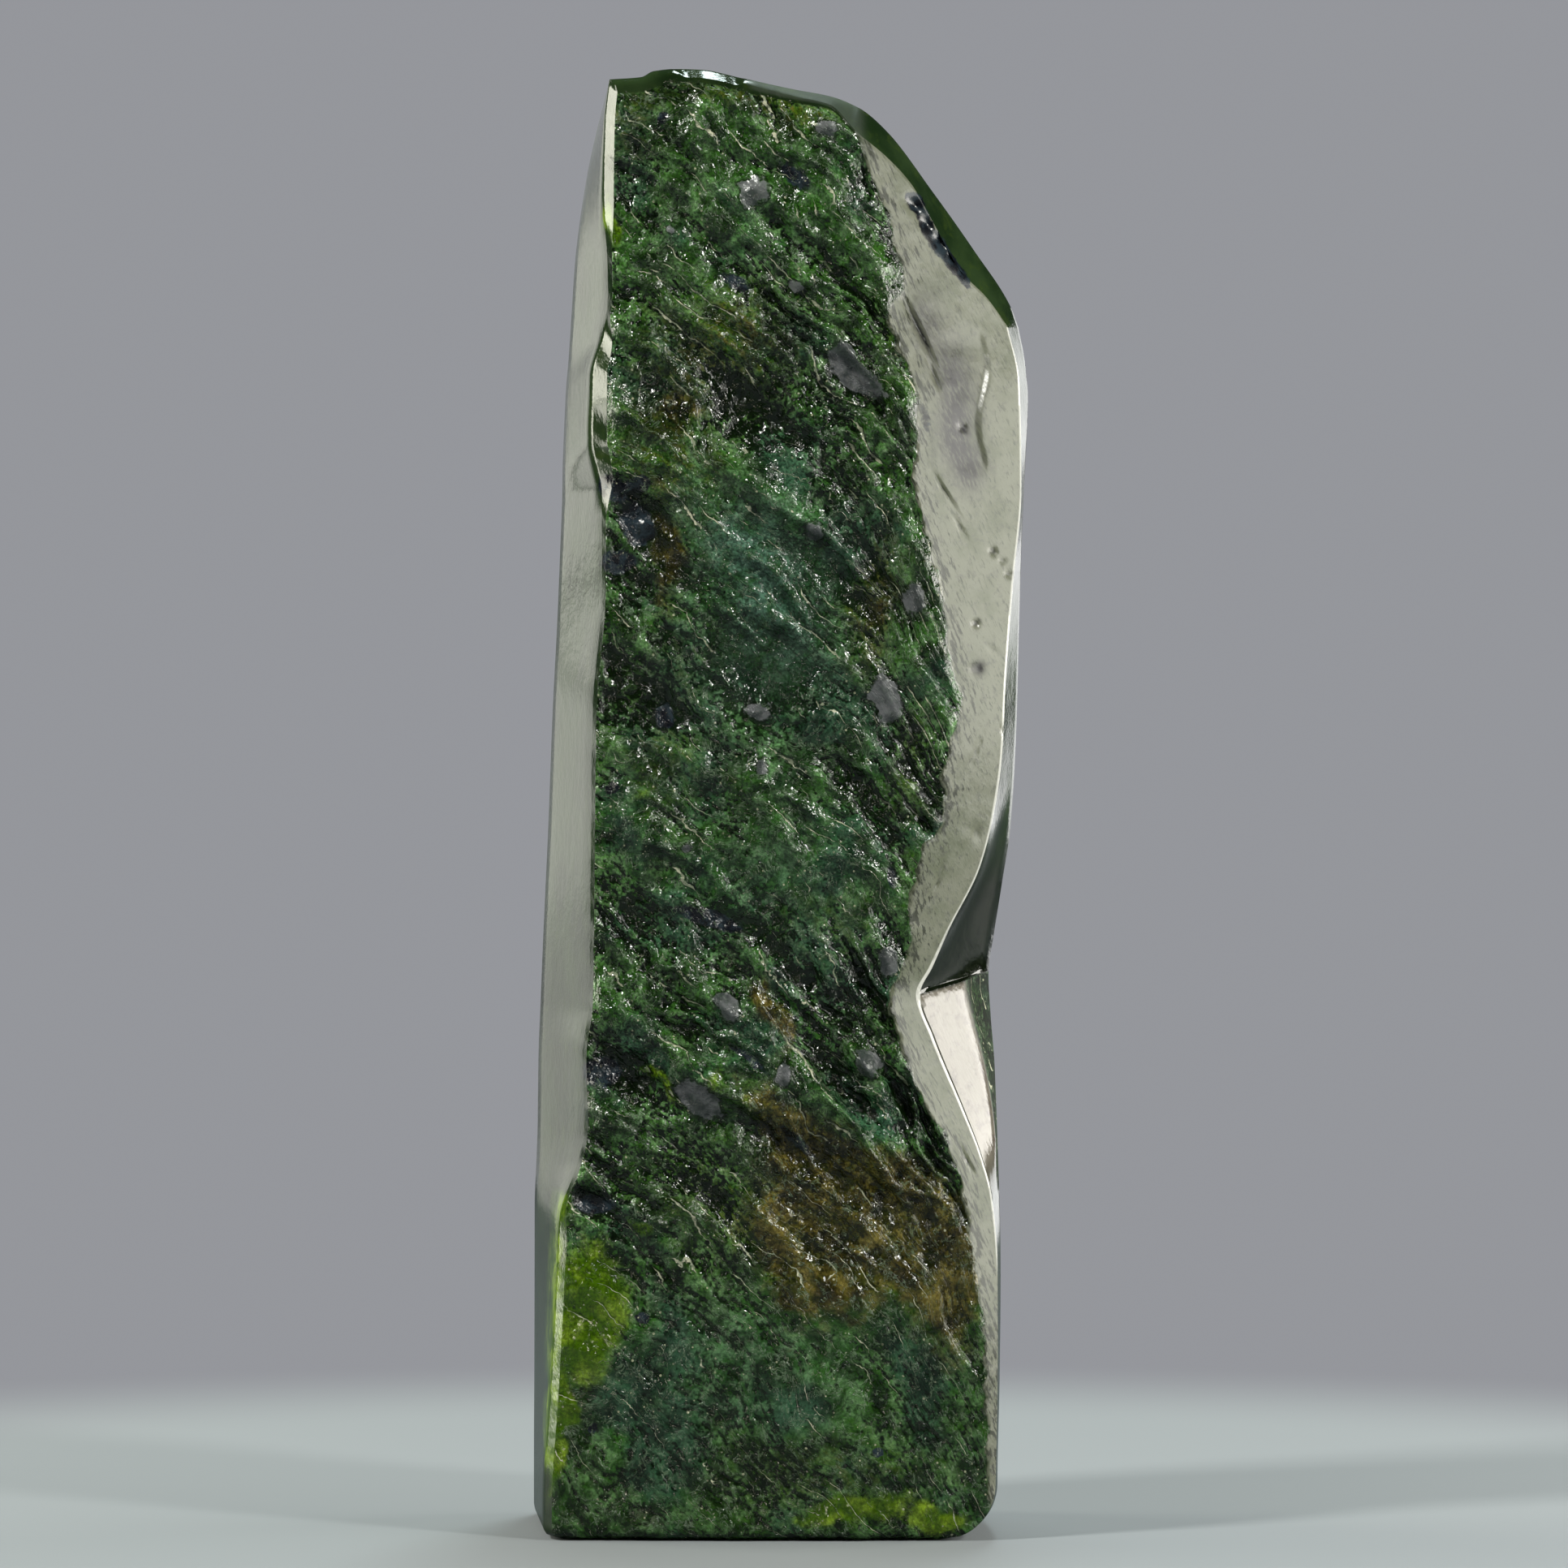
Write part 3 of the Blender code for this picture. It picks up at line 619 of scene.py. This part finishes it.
OLIVE = (
    (-9, 203, 16, 10, 0.9, 0), (-19, 185, 10, 16, 0.8, 0), (16, 160, 5, 14, 0.9, -12),
    (-26, 240, 6, 10, 0.6, 0), (-4, 245, 12, 4, 0.7, 0), (22, 130, 4, 14, 0.5, 0),
    (-16, 148, 8, 10, 0.4, 0), (22, 205, 8, 16, 0.3, 0), (8, 103, 9, 9, 0.35, 0),
    (-20, 132, 9, 10, 0.5, 0), (-8, 57, 16, 12, 0.5, 0), (0, 244, 20, 3, 0.5, 0), (8, 12, 20, 8, 0.5, 0),
)

# Coloured areas of the back, as (name, least noise, length across, length up, seed)
BACK_DRIFTS = (("ochre", 0.1, 17, 30, 91), ("lime", 0.22, 12, 24, 95), ("teal", 0, 26, 30, 97))


def colour_zones(points, zones):
    """Named shares, one value a point, that the material reads."""
    x, y, z = points.T
    warp_x = x + 3.2 * field(x / 9, z / 9, 12.2) + 1.2 * field(x / 3.2, z / 3.2, 15.8)
    warp_z = z + 3.2 * field(x / 9, z / 9, 33.6) + 1.2 * field(x / 3.2, z / 3.2, 37.1)
    depth = 1 - smoothstep(-24, 6, y)
    for name, forms in (("ochre", OCHRE), ("lime", LIME_AND_GLOW), ("teal", TEAL), ("olive", OLIVE)):
        zones[name] = np.clip(spots(forms, warp_x, warp_z), 0, 1) * depth
    for name, forms in (("slate", SLATE), ("nodule", NODULES), ("stain", STAIN)):
        zones[name] = np.clip(spots(forms, mix(x, warp_x, 0.35), mix(z, warp_z, 0.35)), 0, 1) * depth
    behind = smoothstep(8, 16, y)
    for name, least, across, up, seed in BACK_DRIFTS:
        drift = field(warp_x / across, warp_z / up, seed) + 0.35 * field(x / 4, z / 5, seed + 1)
        zones[name] = zones[name] + behind * 0.8 * smoothstep(least, least + 0.4, drift)
    return zones


# Materials

class Nodes:
    """Short calls for building a node tree."""

    def __init__(self, tree):
        self.tree = tree

    def add(self, kind, inputs=None, **settings):
        node = self.tree.nodes.new(kind)
        for name, value in settings.items():
            setattr(node, name, value)
        for name, value in (inputs or {}).items():
            self.put(value, node.inputs[name])
        return node

    def put(self, value, socket):
        """Link an output to a socket, or set a number, a vector or a colour there."""
        if isinstance(value, bpy.types.NodeSocket):
            self.tree.links.new(value, socket)
        elif socket.type == "RGBA":
            socket.default_value = (*value, 1)
        else:
            socket.default_value = value

    def share(self, name):
        return self.add("ShaderNodeAttribute", attribute_name=name).outputs["Fac"]

    def math(self, operation, a, b=0.0, c=0.0, clamp=False):
        node = self.add("ShaderNodeMath", operation=operation, use_clamp=clamp)
        for socket, value in zip(node.inputs, (a, b, c)):
            self.put(value, socket)
        return node.outputs[0]

    def times(self, first, *factors, clamp=False):
        for factor in factors:
            first = self.math("MULTIPLY", first, factor, clamp=clamp)
        return first

    def muladd(self, a, b, c):
        return self.math("MULTIPLY_ADD", a, b, c)

    def minus(self, a, b, clamp=False):
        return self.math("SUBTRACT", a, b, clamp=clamp)

    def apart(self, a, b):
        """How far apart two values are."""
        return self.math("ABSOLUTE", self.minus(a, b))

    def larger(self, a, b):
        return self.math("MAXIMUM", a, b)

    def ramp(self, value, low, high, to_low=0.0, to_high=1.0):
        node = self.add("ShaderNodeMapRange", {"Value": value, "From Min": low, "From Max": high,
                                               "To Min": to_low, "To Max": to_high})
        node.interpolation_type = "SMOOTHSTEP"
        return node.outputs[0]

    def blend(self, a, b, share, kind="MIX"):
        node = self.add("ShaderNodeMix", data_type="RGBA", blend_type=kind)
        self.put(share, node.inputs[0])
        self.put(a, node.inputs[6])
        self.put(b, node.inputs[7])
        return node.outputs[2]

    def noise(self, vector, scale, detail=3.0, roughness=0.55, distortion=0.0):
        node = self.add("ShaderNodeTexNoise", {"Vector": vector, "Scale": scale, "Detail": detail,
                                               "Roughness": roughness, "Distortion": distortion})
        return node.outputs[0]

    def scaled(self, vector, scale):
        return self.add("ShaderNodeMapping", {"Vector": vector, "Scale": scale}).outputs[0]

    def streaked(self, vector, slope, length):
        """A vector that makes noise streak down to the right at a slope."""
        node = self.add("ShaderNodeMapping", {"Vector": vector, "Rotation": (0, math.radians(slope), 0),
                                              "Scale": (length, 1, 1)}, vector_type="TEXTURE")
        return node.outputs[0]


def fresh_material(name):
    """An empty material, and the calls that fill its node tree."""
    material = bpy.data.materials.new(name)
    material.use_nodes = True
    material.node_tree.nodes.clear()
    return material, Nodes(material.node_tree)


# Colours of the rind, each pair as its darker and lighter end
# The darkest green, painted as shade in the rind's hollows and round the nodules
DEEP_SHADE = (0.0020, 0.0070, 0.0004)
MIDDLE_GREEN = (0.022, 0.074, 0.009)
LIGHT_GREEN = (0.088, 0.185, 0.062)
BLUE_GREEN = (0.022, 0.064, 0.038)
TEALS = ((0.042, 0.112, 0.066), (0.092, 0.195, 0.132))
OLIVES = ((0.040, 0.070, 0.003), (0.085, 0.075, 0.012))
OCHRES = ((0.032, 0.034, 0.004), (0.130, 0.098, 0.020))
# Lime greens, partly a painted glow of light through thin edges
LIMES_AND_GLOW = ((0.055, 0.130, 0.001), (0.31, 0.47, 0.035))
SLATES = ((0.004, 0.005, 0.009), (0.030, 0.048, 0.062))
LILACS = ((0.055, 0.064, 0.066), (0.21, 0.215, 0.225))
CREST_HIGHLIGHTS = ((0.40, 0.44, 0.30), (0.92, 0.90, 0.66))
CRINKLE_HIGHLIGHT = (0.22, 0.32, 0.19)
GLINT = (0.60, 0.60, 0.40)

# Colours of the cut faces
POLISHED = ((0.010, 0.026, 0.006), (0.030, 0.058, 0.018))
POLISHED_OLIVE = (0.05, 0.085, 0.012)
# Pale greys of the bevel, partly a painted reflection of the light on the right
BEVEL_GREYS_AND_REFLECTION = ((0.20, 0.22, 0.14), (0.30, 0.31, 0.23))
BEVEL_PATCH = (0.10, 0.09, 0.10)
BEVEL_SCRATCH = (0.02, 0.03, 0.02)
BEVEL_STAIN = (0.035, 0.030, 0.040)
BEVEL_FURROW = (0.03, 0.035, 0.02)
CREAMS_AND_REFLECTION = ((0.27, 0.24, 0.19), (0.10, 0.07, 0.06))
SCOOP_SHADES = ((0.003, 0.006, 0.001), (0.010, 0.016, 0.005))
PIT_SHADE = (0.012, 0.012, 0.012)
RIM_HIGHLIGHT_COLOUR = (0.92, 0.92, 0.84)

MATTE = (0.9, 0.9, 0.9)
RIND_BUMP = 0.0004
POLISH_BUMP = 0.00015
RIDGE_SPACING = 3.4
RIDGE_WIDTH = 0.30
SHADOW_AT = 0.42
SHADOW_WIDTH = 0.4


def patterns(n):
    """The noises, shares and spots that both the colour and the surface of the stone read."""
    s = SimpleNamespace()
    where = n.add("ShaderNodeTexCoord").outputs["Object"]
    s.mm = n.scaled(where, (1000, 1000, 1000))
    s.grain = n.add("ShaderNodeAttribute", attribute_name="grain").outputs["Vector"]
    s.rind = n.share("rind")
    s.crest = n.share("crest")
    s.rough = n.share("rough")
    s.teal = n.share("teal")

    s.cloud = n.noise(s.mm, 0.07, 4)
    s.mottle = n.noise(s.mm, 0.33, 5, 0.62, 0.5)
    s.fibre = n.noise(n.scaled(s.grain, (1, 1, 0.24)), 0.95, 2, 0.55)
    s.crumple = n.noise(s.mm, 1.0, 2, 0.5, 0.2)
    s.scratch = n.noise(n.streaked(s.mm, 55, 9), 1.9, 3, 0.6)
    folds = n.muladd(s.crumple, 0.5, n.times(s.fibre, 0.6))
    s.uneven = n.times(n.minus(folds, 0.55), n.muladd(s.rough, 0.7, 0.7))
    s.raised = n.ramp(n.muladd(s.uneven, 1.4, s.crest), 0.24, 0.68)

    ragged = n.minus(n.noise(s.mm, 0.45, 3, 0.6), 0.5)
    nodule = n.muladd(ragged, 1.4, n.share("nodule"))
    s.rim = n.ramp(nodule, 0.2, 0.44)
    s.nodule = n.ramp(nodule, 0.44, 0.6)
    s.wander = n.minus(s.mottle, 0.5)
    s.lime_share = n.ramp(n.muladd(s.wander, 0.7, n.share("lime")), 0.25, 0.7)
    s.lime = n.blend(*LIMES_AND_GLOW, n.ramp(n.noise(s.mm, 0.2, 5, 0.6), 0.42, 0.72))
    s.slate_share = n.ramp(n.muladd(n.minus(s.crumple, 0.5), 0.6, n.share("slate")), 0.38, 0.62)
    s.slate = n.blend(*SLATES, n.ramp(n.noise(s.mm, 0.45, 4, 0.6), 0.42, 0.66))
    return s


def ridges(n, s):
    """Thin crest lines along the wrinkles, which the colour paints as highlights, the painted shadows
    beside them, and finer tangled lines.
    """
    bend = n.noise(n.scaled(s.grain, (0.16, 0.16, 0.05)), 1, 2)
    bend = n.muladd(n.noise(s.mm, 0.5, 2), 0.25, bend)
    across = n.add("ShaderNodeSeparateXYZ", {0: s.grain}).outputs[0]
    turns = n.muladd(bend, 2.0, n.times(across, 1 / RIDGE_SPACING))
    offset = n.times(n.minus(n.math("FRACT", turns), 0.5), RIDGE_SPACING)
    pieces = n.ramp(n.noise(n.scaled(s.grain, (0.4, 0.4, 0.10)), 1, 2), 0.46, 0.64)
    family = n.ramp(n.noise(s.mm, 0.09, 2), 0.40, 0.6, 0.35, 1)
    ridge = n.times(pieces, family, n.muladd(s.rough, 0.7, 0.3))
    s.line = n.ramp(n.minus(n.times(ridge, RIDGE_WIDTH), n.math("ABSOLUTE", offset)), 0, 0.07)
    s.shadow = n.ramp(n.minus(n.times(ridge, SHADOW_WIDTH), n.apart(offset, SHADOW_AT)), 0, 0.15)

    tangle = n.noise(n.scaled(s.grain, (1, 1, 0.8)), 0.55, 3, 0.6, 1.0)
    tangle = n.ramp(n.apart(tangle, 0.5), 0.045, 0.012)
    s.scribble = n.times(tangle, n.ramp(n.noise(s.mm, 0.55, 3, 0.6), 0.44, 0.60))


def rind_colour(n, s):
    """Colour of the natural rind: greens and coloured areas, painted shade in the folds and beside the
    crest lines, slate spots, and lilac nodules ringed with painted shade.
    """
    base = n.blend(MIDDLE_GREEN, LIGHT_GREEN, n.ramp(s.mottle, 0.43, 0.62, 0, 0.95))
    base = n.blend(base, BLUE_GREEN, n.ramp(s.cloud, 0.48, 0.64, 0, 0.8))
    teal = n.blend(*TEALS, n.ramp(s.mottle, 0.4, 0.65))
    base = n.blend(base, teal, n.times(s.teal, n.ramp(s.mottle, 0.3, 0.6, 0.3, 1)))
    olive = n.blend(*OLIVES, n.ramp(s.crumple, 0.4, 0.65))
    base = n.blend(base, olive, n.times(n.share("olive"), n.ramp(s.fibre, 0.36, 0.62, 0.1, 0.9)))
    ochre = n.blend(*OCHRES, n.ramp(n.noise(s.mm, 0.3, 6, 0.68), 0.36, 0.64))
    ochre_share = n.ramp(n.muladd(s.wander, 1.1, n.share("ochre")), 0.15, 0.65, 0, 0.94)
    base = n.blend(base, ochre, ochre_share)
    base = n.blend(base, s.lime, s.lime_share)

    pools = n.ramp(n.noise(s.mm, 0.16, 4, 0.6, 0.6), 0.38, 0.62, 0.38, 1.75)
    base = n.blend(base, pools, n.minus(1.0, n.larger(s.lime_share, s.teal), clamp=True), "MULTIPLY")
    calm = n.larger(n.times(s.lime_share, 0.8), n.times(ochre_share, 0.45))
    calm = n.larger(calm, n.times(s.teal, 0.65))
    # Painted shade: darker where the relief is low, eased on lime, ochre and teal, and darker in the
    # painted shadows beside the crest lines
    shade = n.larger(n.ramp(s.raised, 0.0, 0.8, 0.02, 1), calm)
    shade = n.times(shade, n.muladd(s.shadow, -0.7, 1.0), n.muladd(n.share("matte"), -0.75, 1.0))
    base = n.blend(DEEP_SHADE, base, shade)
    grains = n.ramp(n.noise(s.mm, 2.0, 2, 0.6), 0.36, 0.64, 0.5, 1.6)
    base = n.blend(base, grains, n.muladd(s.rough, 0.7, 0.3), "MULTIPLY")

    base = n.blend(base, s.slate, s.slate_share)
    # Painted shade: a dark ring round each nodule
    base = n.blend(base, DEEP_SHADE, n.times(n.minus(s.rim, s.nodule, clamp=True), 0.8))
    lilac = n.blend(*LILACS, n.ramp(n.noise(s.mm, 0.28, 4, 0.6), 0.38, 0.62))
    return n.blend(base, lilac, n.times(s.nodule, 0.9))


def bright_lines(n, s, base):
    """The rind's colour with painted highlights over it: pale crest lines, crinkles and glints."""
    off_nodule = n.minus(0.9, s.nodule)
    # Painted highlights: pale lines along the crests
    crest = n.blend(*CREST_HIGHLIGHTS, n.ramp(s.crumple, 0.42, 0.6))
    base = n.blend(base, crest, n.times(s.line, n.ramp(s.crest, 0.30, 0.5), off_nodule, clamp=True))
    plain = n.minus(0.9, n.larger(s.nodule, s.lime_share))
    # Painted highlights: fine pale crinkle lines on the raised parts
    crinkle_highlight = n.times(s.scribble, n.ramp(s.raised, 0.25, 0.65, 0.0, 0.55), plain, clamp=True)
    base = n.blend(base, CRINKLE_HIGHLIGHT, crinkle_highlight)

    # Painted glints: pale specks on the raised parts, off the nodules
    cells = n.add("ShaderNodeTexVoronoi", {"Vector": s.mm, "Scale": 0.85, "Randomness": 1.0})
    chosen = n.add("ShaderNodeSeparateColor", {"Color": cells.outputs["Color"]}).outputs[0]
    reach = n.math("DIVIDE", cells.outputs["Distance"], n.muladd(chosen, 0.22, 0.02))
    some = n.ramp(n.noise(s.mm, 0.3, 3), 0.46, 0.6, 0.1, 1)
    glint = n.times(n.ramp(reach, 1.0, 0.6), some, n.ramp(s.raised, 0.2, 0.55))
    return n.blend(base, GLINT, n.times(glint, off_nodule, clamp=True))


def polished_colour(n, s):
    """Colour of the cut faces: the bevel's pale grey and the cream facet, both partly painted reflection,
    the scoop's painted shade, spots, painted shade in pits and groove, and a painted rim highlight.
    """
    face = n.blend(*POLISHED, n.ramp(s.cloud, 0.35, 0.65))
    face = n.blend(face, POLISHED_OLIVE, n.ramp(s.mottle, 0.5, 0.75, 0, 0.5))
    face = n.blend(face, s.lime, s.lime_share)

    # The bevel's pale grey: partly its own colour, partly a painted reflection of the light on the right,
    # with its own patches, scratches, stains and furrows
    bevel_grey = n.blend(*BEVEL_GREYS_AND_REFLECTION, n.ramp(n.noise(s.mm, 0.12, 4, 0.6), 0.30, 0.58))
    bevel_grey = n.blend(bevel_grey, BEVEL_PATCH, n.ramp(n.noise(s.mm, 0.7, 4, 0.65, 0.3), 0.52, 0.74, 0, 0.4))
    bevel_grey = n.blend(bevel_grey, BEVEL_SCRATCH, n.ramp(s.scratch, 0.54, 0.68, 0, 0.4))
    bevel_grey = n.blend(bevel_grey, BEVEL_STAIN, n.times(n.share("stain"), n.ramp(s.scratch, 0.3, 0.55, 0.5, 1)))
    furrow = n.noise(n.streaked(s.mm, 62, 7), 1.5, 3, 0.6)
    furrow = n.ramp(n.muladd(n.share("verge"), 0.24, furrow), 0.68, 0.80, 0, 0.85)
    bevel_grey = n.blend(bevel_grey, BEVEL_FURROW, furrow)
    face = n.blend(face, bevel_grey, n.share("bevel"))

    # The cream facet: partly its own colour, partly a painted reflection of the light on the right
    cream = n.blend(*CREAMS_AND_REFLECTION, n.ramp(s.mottle, 0.45, 0.7, 0, 0.8))
    face = n.blend(face, cream, n.share("cream"))
    # Painted shade on the scoop's upper facet, which faces down
    scoop = n.blend(*SCOOP_SHADES, n.ramp(s.scratch, 0.4, 0.6))
    face = n.blend(face, scoop, n.share("scoop"))
    # Painted shade where the face sinks: in the pits and the groove
    face = n.blend(PIT_SHADE, face, n.ramp(s.crest, 0.2, 0.46))
    face = n.blend(face, s.slate, s.slate_share)
    # Painted highlight: a patchy near-white line just behind the right rim
    rim_highlight = n.times(n.ramp(n.share("rim_highlight"), 0.2, 0.7), n.ramp(s.mottle, 0.3, 0.5, 0.6, 1))
    return n.blend(face, RIM_HIGHLIGHT_COLOUR, rim_highlight)


def roughness(n, s):
    """Glossy rind and polish, with duller nodules, slate spots and bevel, and matte broken stone."""
    rind = n.ramp(s.mottle, 0.35, 0.7, 0.08, 0.18)
    rind = n.muladd(s.nodule, 0.16, rind)
    rind = n.muladd(s.slate_share, 0.10, rind)
    polished = n.muladd(n.share("bevel"), 0.12, n.ramp(s.scratch, 0.35, 0.7, 0.08, 0.13))
    return n.blend(n.blend(polished, rind, s.rind), MATTE, n.share("matte"))


def normal(n, s):
    """Bumps of the rind's finest folds, and faint waves and scratches of the polish."""
    smooth = n.times(n.muladd(s.nodule, -0.4, 1.0), n.muladd(s.lime_share, -0.7, 1.0))
    smooth = n.times(smooth, n.minus(1.0, n.share("even")))
    folds = n.muladd(s.scribble, 0.25, n.muladd(s.line, 0.4, s.uneven))
    folds = n.times(folds, s.rind, smooth)
    rind = n.add("ShaderNodeBump", {"Height": folds, "Strength": 1.0, "Distance": RIND_BUMP})
    polish = n.muladd(s.scratch, 0.5, n.noise(s.mm, 0.3, 3))
    polish = n.times(polish, n.minus(1.0, s.rind))
    both = n.add("ShaderNodeBump", {"Height": polish, "Strength": 0.4, "Distance": POLISH_BUMP,
                                    "Normal": rind.outputs[0]})
    return both.outputs[0]


def nephrite():
    """Dark green nephrite: a glossy natural rind with coloured zones, and polished faces."""
    material, n = fresh_material("nephrite")
    shader = n.add("ShaderNodeBsdfPrincipled")
    n.put(shader.outputs[0], n.add("ShaderNodeOutputMaterial").inputs[0])
    s = patterns(n)
    ridges(n, s)
    rind = bright_lines(n, s, rind_colour(n, s))
    colour = n.blend(polished_colour(n, s), rind, n.ramp(s.rind, 0.3, 0.7))
    n.put(colour, shader.inputs["Base Color"])
    n.put(roughness(n, s), shader.inputs["Roughness"])
    n.put(normal(n, s), shader.inputs["Normal"])
    shader.inputs["IOR"].default_value = 1.62
    shader.inputs["Specular IOR Level"].default_value = 0.5
    return material


# The stone

def mark_sharp_edges(mesh, shares, rind):
    """Sharp edges on the cut faces and along the notch, and none in the rind."""
    mesh.set_sharp_from_angle(angle=SHARP_ANGLE)
    ends = np.empty(2 * len(mesh.edges), dtype=np.int32)
    mesh.edges.foreach_get("vertices", ends)
    ends = ends.reshape(-1, 2)
    sharp = np.empty(len(mesh.edges), dtype=bool)
    mesh.attributes["sharp_edge"].data.foreach_get("value", sharp)
    sharp &= rind[ends].max(axis=1) < 0.3
    at_notch = (shares[:, 0] > ALMOST) & (np.abs(shares[:, 2] - NOTCH_ROW) < TINY)
    sharp |= at_notch[ends].all(axis=1)
    mesh.attributes["sharp_edge"].data.foreach_set("value", sharp)


def store_zones(mesh, points, zones):
    """The zones and the wrinkles' coordinates, as attributes that the material reads."""
    for name, values in zones.items():
        mesh.attributes.new(name, "FLOAT", "POINT").data.foreach_set("value", values.astype(np.float32))
    across, along = swirl(points[:, 0], points[:, 2], FRONT_SEED)
    grain = np.stack([across, points[:, 1], along], axis=1).astype(np.float32)
    mesh.attributes.new("grain", "FLOAT_VECTOR", "POINT").data.foreach_set("vector", grain.ravel())


def make_stone():
    """The stone seen in the pictures, in place of its solid."""
    shares, faces = skin()
    points, zones = place(shares[:, 0], shares[:, 1], shares[:, 2])
    zones = colour_zones(points, zones)
    low, high = (np.array(corner) for corner in cad_box)
    centred = np.clip((points - (*MIDDLE, 0)) * MM, low, high)
    mesh = bpy.data.meshes.new("stone_skin")
    mesh.from_pydata(centred.tolist(), [], faces)
    mesh.shade_smooth()
    mark_sharp_edges(mesh, shares, zones["rind"])
    store_zones(mesh, points, zones)
    stone = bpy.data.objects.new("stone_skin", mesh)
    bpy.context.scene.collection.objects.link(stone)
    mesh.materials.append(nephrite())
    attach(stone, "root")
    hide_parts(NODE)
    return stone


# Stage, light and camera, in metres

CAMERA_DISTANCE = 1.150
CAMERA_HEIGHT = 0.1282
CAMERA_X = 0.3 * MM
VIEW_WIDTH = 0.26565
SENSOR = 36.0
BACKDROP = (0.300, 0.307, 0.330)
DIM = (0.024, 0.027, 0.028)
FLOOR_UNSEEN = (0.10, 0.12, 0.13)
FLOOR_SEEN = (0.42, 0.45, 0.47)
FLOOR_FADE = (0.2, 0.34)
FLOOR_RADIUS = 6
FLOOR_DROP = 0.0002
LIGHT_AIM = (0, 0, 0.12)

# Lights, each as (name, place, width and height, radiance, tint)
SOFTBOXES = (
    ("right_front", (0.95, -0.32, 0.22), (0.42, 0.56), 3.5, (1, 1, 0.93)),
    ("right_back", (0.95, 0.22, 0.285), (0.60, 0.33), 7.6, (1, 0.975, 0.91)),
    ("right_rear", (0.46, 0.88, 0.16), (0.36, 0.5), 1.8, (1, 1, 1)),
    ("left_back", (-0.5, 0.95, 0.43), (0.35, 0.48), 0.94, (1, 1, 0.90)),
    ("left_middle", (-0.5, 0.95, 0.145), (0.35, 0.09), 0.80, (1, 1, 0.91)),
    ("left_foot", (-0.5, 0.95, 0.045), (0.35, 0.11), 0.61, (1, 1, 0.92)),
    ("behind", (-0.02, 1.15, 0.14), (0.62, 0.55), 0.34, (0.95, 0.97, 1)),
    ("left_rim", (-0.93, 0.25, 0.385), (0.45, 0.28), 7.4, (1, 0.99, 0.84)),
    ("left_low", (-0.93, 0.25, 0.115), (0.45, 0.24), 5.0, (1, 0.99, 0.86)),
    ("overhead", (0.065, 0.32, 0.98), (0.15, 0.50), 14.0, (0.86, 1, 1)),
    ("key", (-0.95, -0.60, 1.05), (0.20, 0.20), 92.0, (1, 1, 0.94)),
    ("fill", (0.95, -0.75, 0.85), (0.16, 0.16), 84.0, (1, 1, 0.94)),
    ("spark", (-0.2, -1.35, 0.15), (0.06, 0.06), 30.0, (1, 0.9, 0.75)),
)


def floor_material():
    """A floor that fades into the backdrop with distance, and that only the camera sees as pale."""
    material, n = fresh_material("floor")
    where = n.add("ShaderNodeTexCoord").outputs["Object"]
    reach = n.add("ShaderNodeVectorMath", {0: where}, operation="LENGTH").outputs["Value"]
    seen = n.add("ShaderNodeLightPath").outputs["Is Camera Ray"]
    shade = n.blend(FLOOR_UNSEEN, FLOOR_SEEN, seen)
    table = n.add("ShaderNodeBsdfPrincipled", {"Base Color": shade, "Roughness": 0.6})
    far = n.add("ShaderNodeEmission", {"Color": BACKDROP})
    fade = n.add("ShaderNodeMixShader", {0: n.times(n.ramp(reach, *FLOOR_FADE), seen)})
    n.put(table.outputs[0], fade.inputs[1])
    n.put(far.outputs[0], fade.inputs[2])
    n.put(fade.outputs[0], n.add("ShaderNodeOutputMaterial").inputs[0])
    return material


def make_floor():
    place_m = (0, 0, -FLOOR_DROP)
    bpy.ops.mesh.primitive_circle_add(vertices=96, radius=FLOOR_RADIUS, fill_type="NGON", location=place_m)
    floor = bpy.context.object
    floor.name = "floor"
    floor.data.materials.append(floor_material())


def make_world():
    """A plain backdrop for the camera, and dim surroundings for everything else."""
    world = bpy.data.worlds.new("studio")
    bpy.context.scene.world = world
    world.use_nodes = True
    world.node_tree.nodes.clear()
    n = Nodes(world.node_tree)
    seen = n.add("ShaderNodeLightPath").outputs["Is Camera Ray"]
    dim = n.add("ShaderNodeBackground", {"Color": DIM})
    wall = n.add("ShaderNodeBackground", {"Color": BACKDROP})
    pick = n.add("ShaderNodeMixShader", {0: seen})
    n.put(dim.outputs[0], pick.inputs[1])
    n.put(wall.outputs[0], pick.inputs[2])
    n.put(pick.outputs[0], n.add("ShaderNodeOutputWorld").inputs[0])


def softbox(name, place_m, size_m, radiance, tint):
    """A rectangular light that faces the stone's middle, of a given radiance."""
    light = bpy.data.lights.new(name, "AREA")
    light.shape = "RECTANGLE"
    light.size, light.size_y = size_m
    light.energy = radiance * math.pi * size_m[0] * size_m[1]
    light.color = tint
    lamp = bpy.data.objects.new(name, light)
    bpy.context.scene.collection.objects.link(lamp)
    lamp.location = place_m
    away = Vector(place_m) - Vector(LIGHT_AIM)
    lamp.rotation_euler = away.to_track_quat("Z", "Y").to_euler()
    lamp.visible_camera = False


def make_camera():
    """A camera level with the stone's middle, with the photograph's width of view at its front."""
    camera = bpy.data.cameras.new("camera")
    camera.sensor_width = SENSOR
    camera.lens = SENSOR * CAMERA_DISTANCE / VIEW_WIDTH
    camera.clip_start, camera.clip_end = 0.05, 50
    holder = bpy.data.objects.new("camera", camera)
    bpy.context.scene.collection.objects.link(holder)
    front = (FRONT_PLANE - MIDDLE[1]) * MM
    holder.location = (CAMERA_X - MIDDLE[0] * MM, front - CAMERA_DISTANCE, CAMERA_HEIGHT)
    holder.rotation_euler = (math.radians(90), 0, 0)
    bpy.context.scene.camera = holder


bpy.context.scene.view_settings.view_transform = "Standard"
make_camera()
make_stone()
make_floor()
make_world()
for settings in SOFTBOXES:
    softbox(*settings)
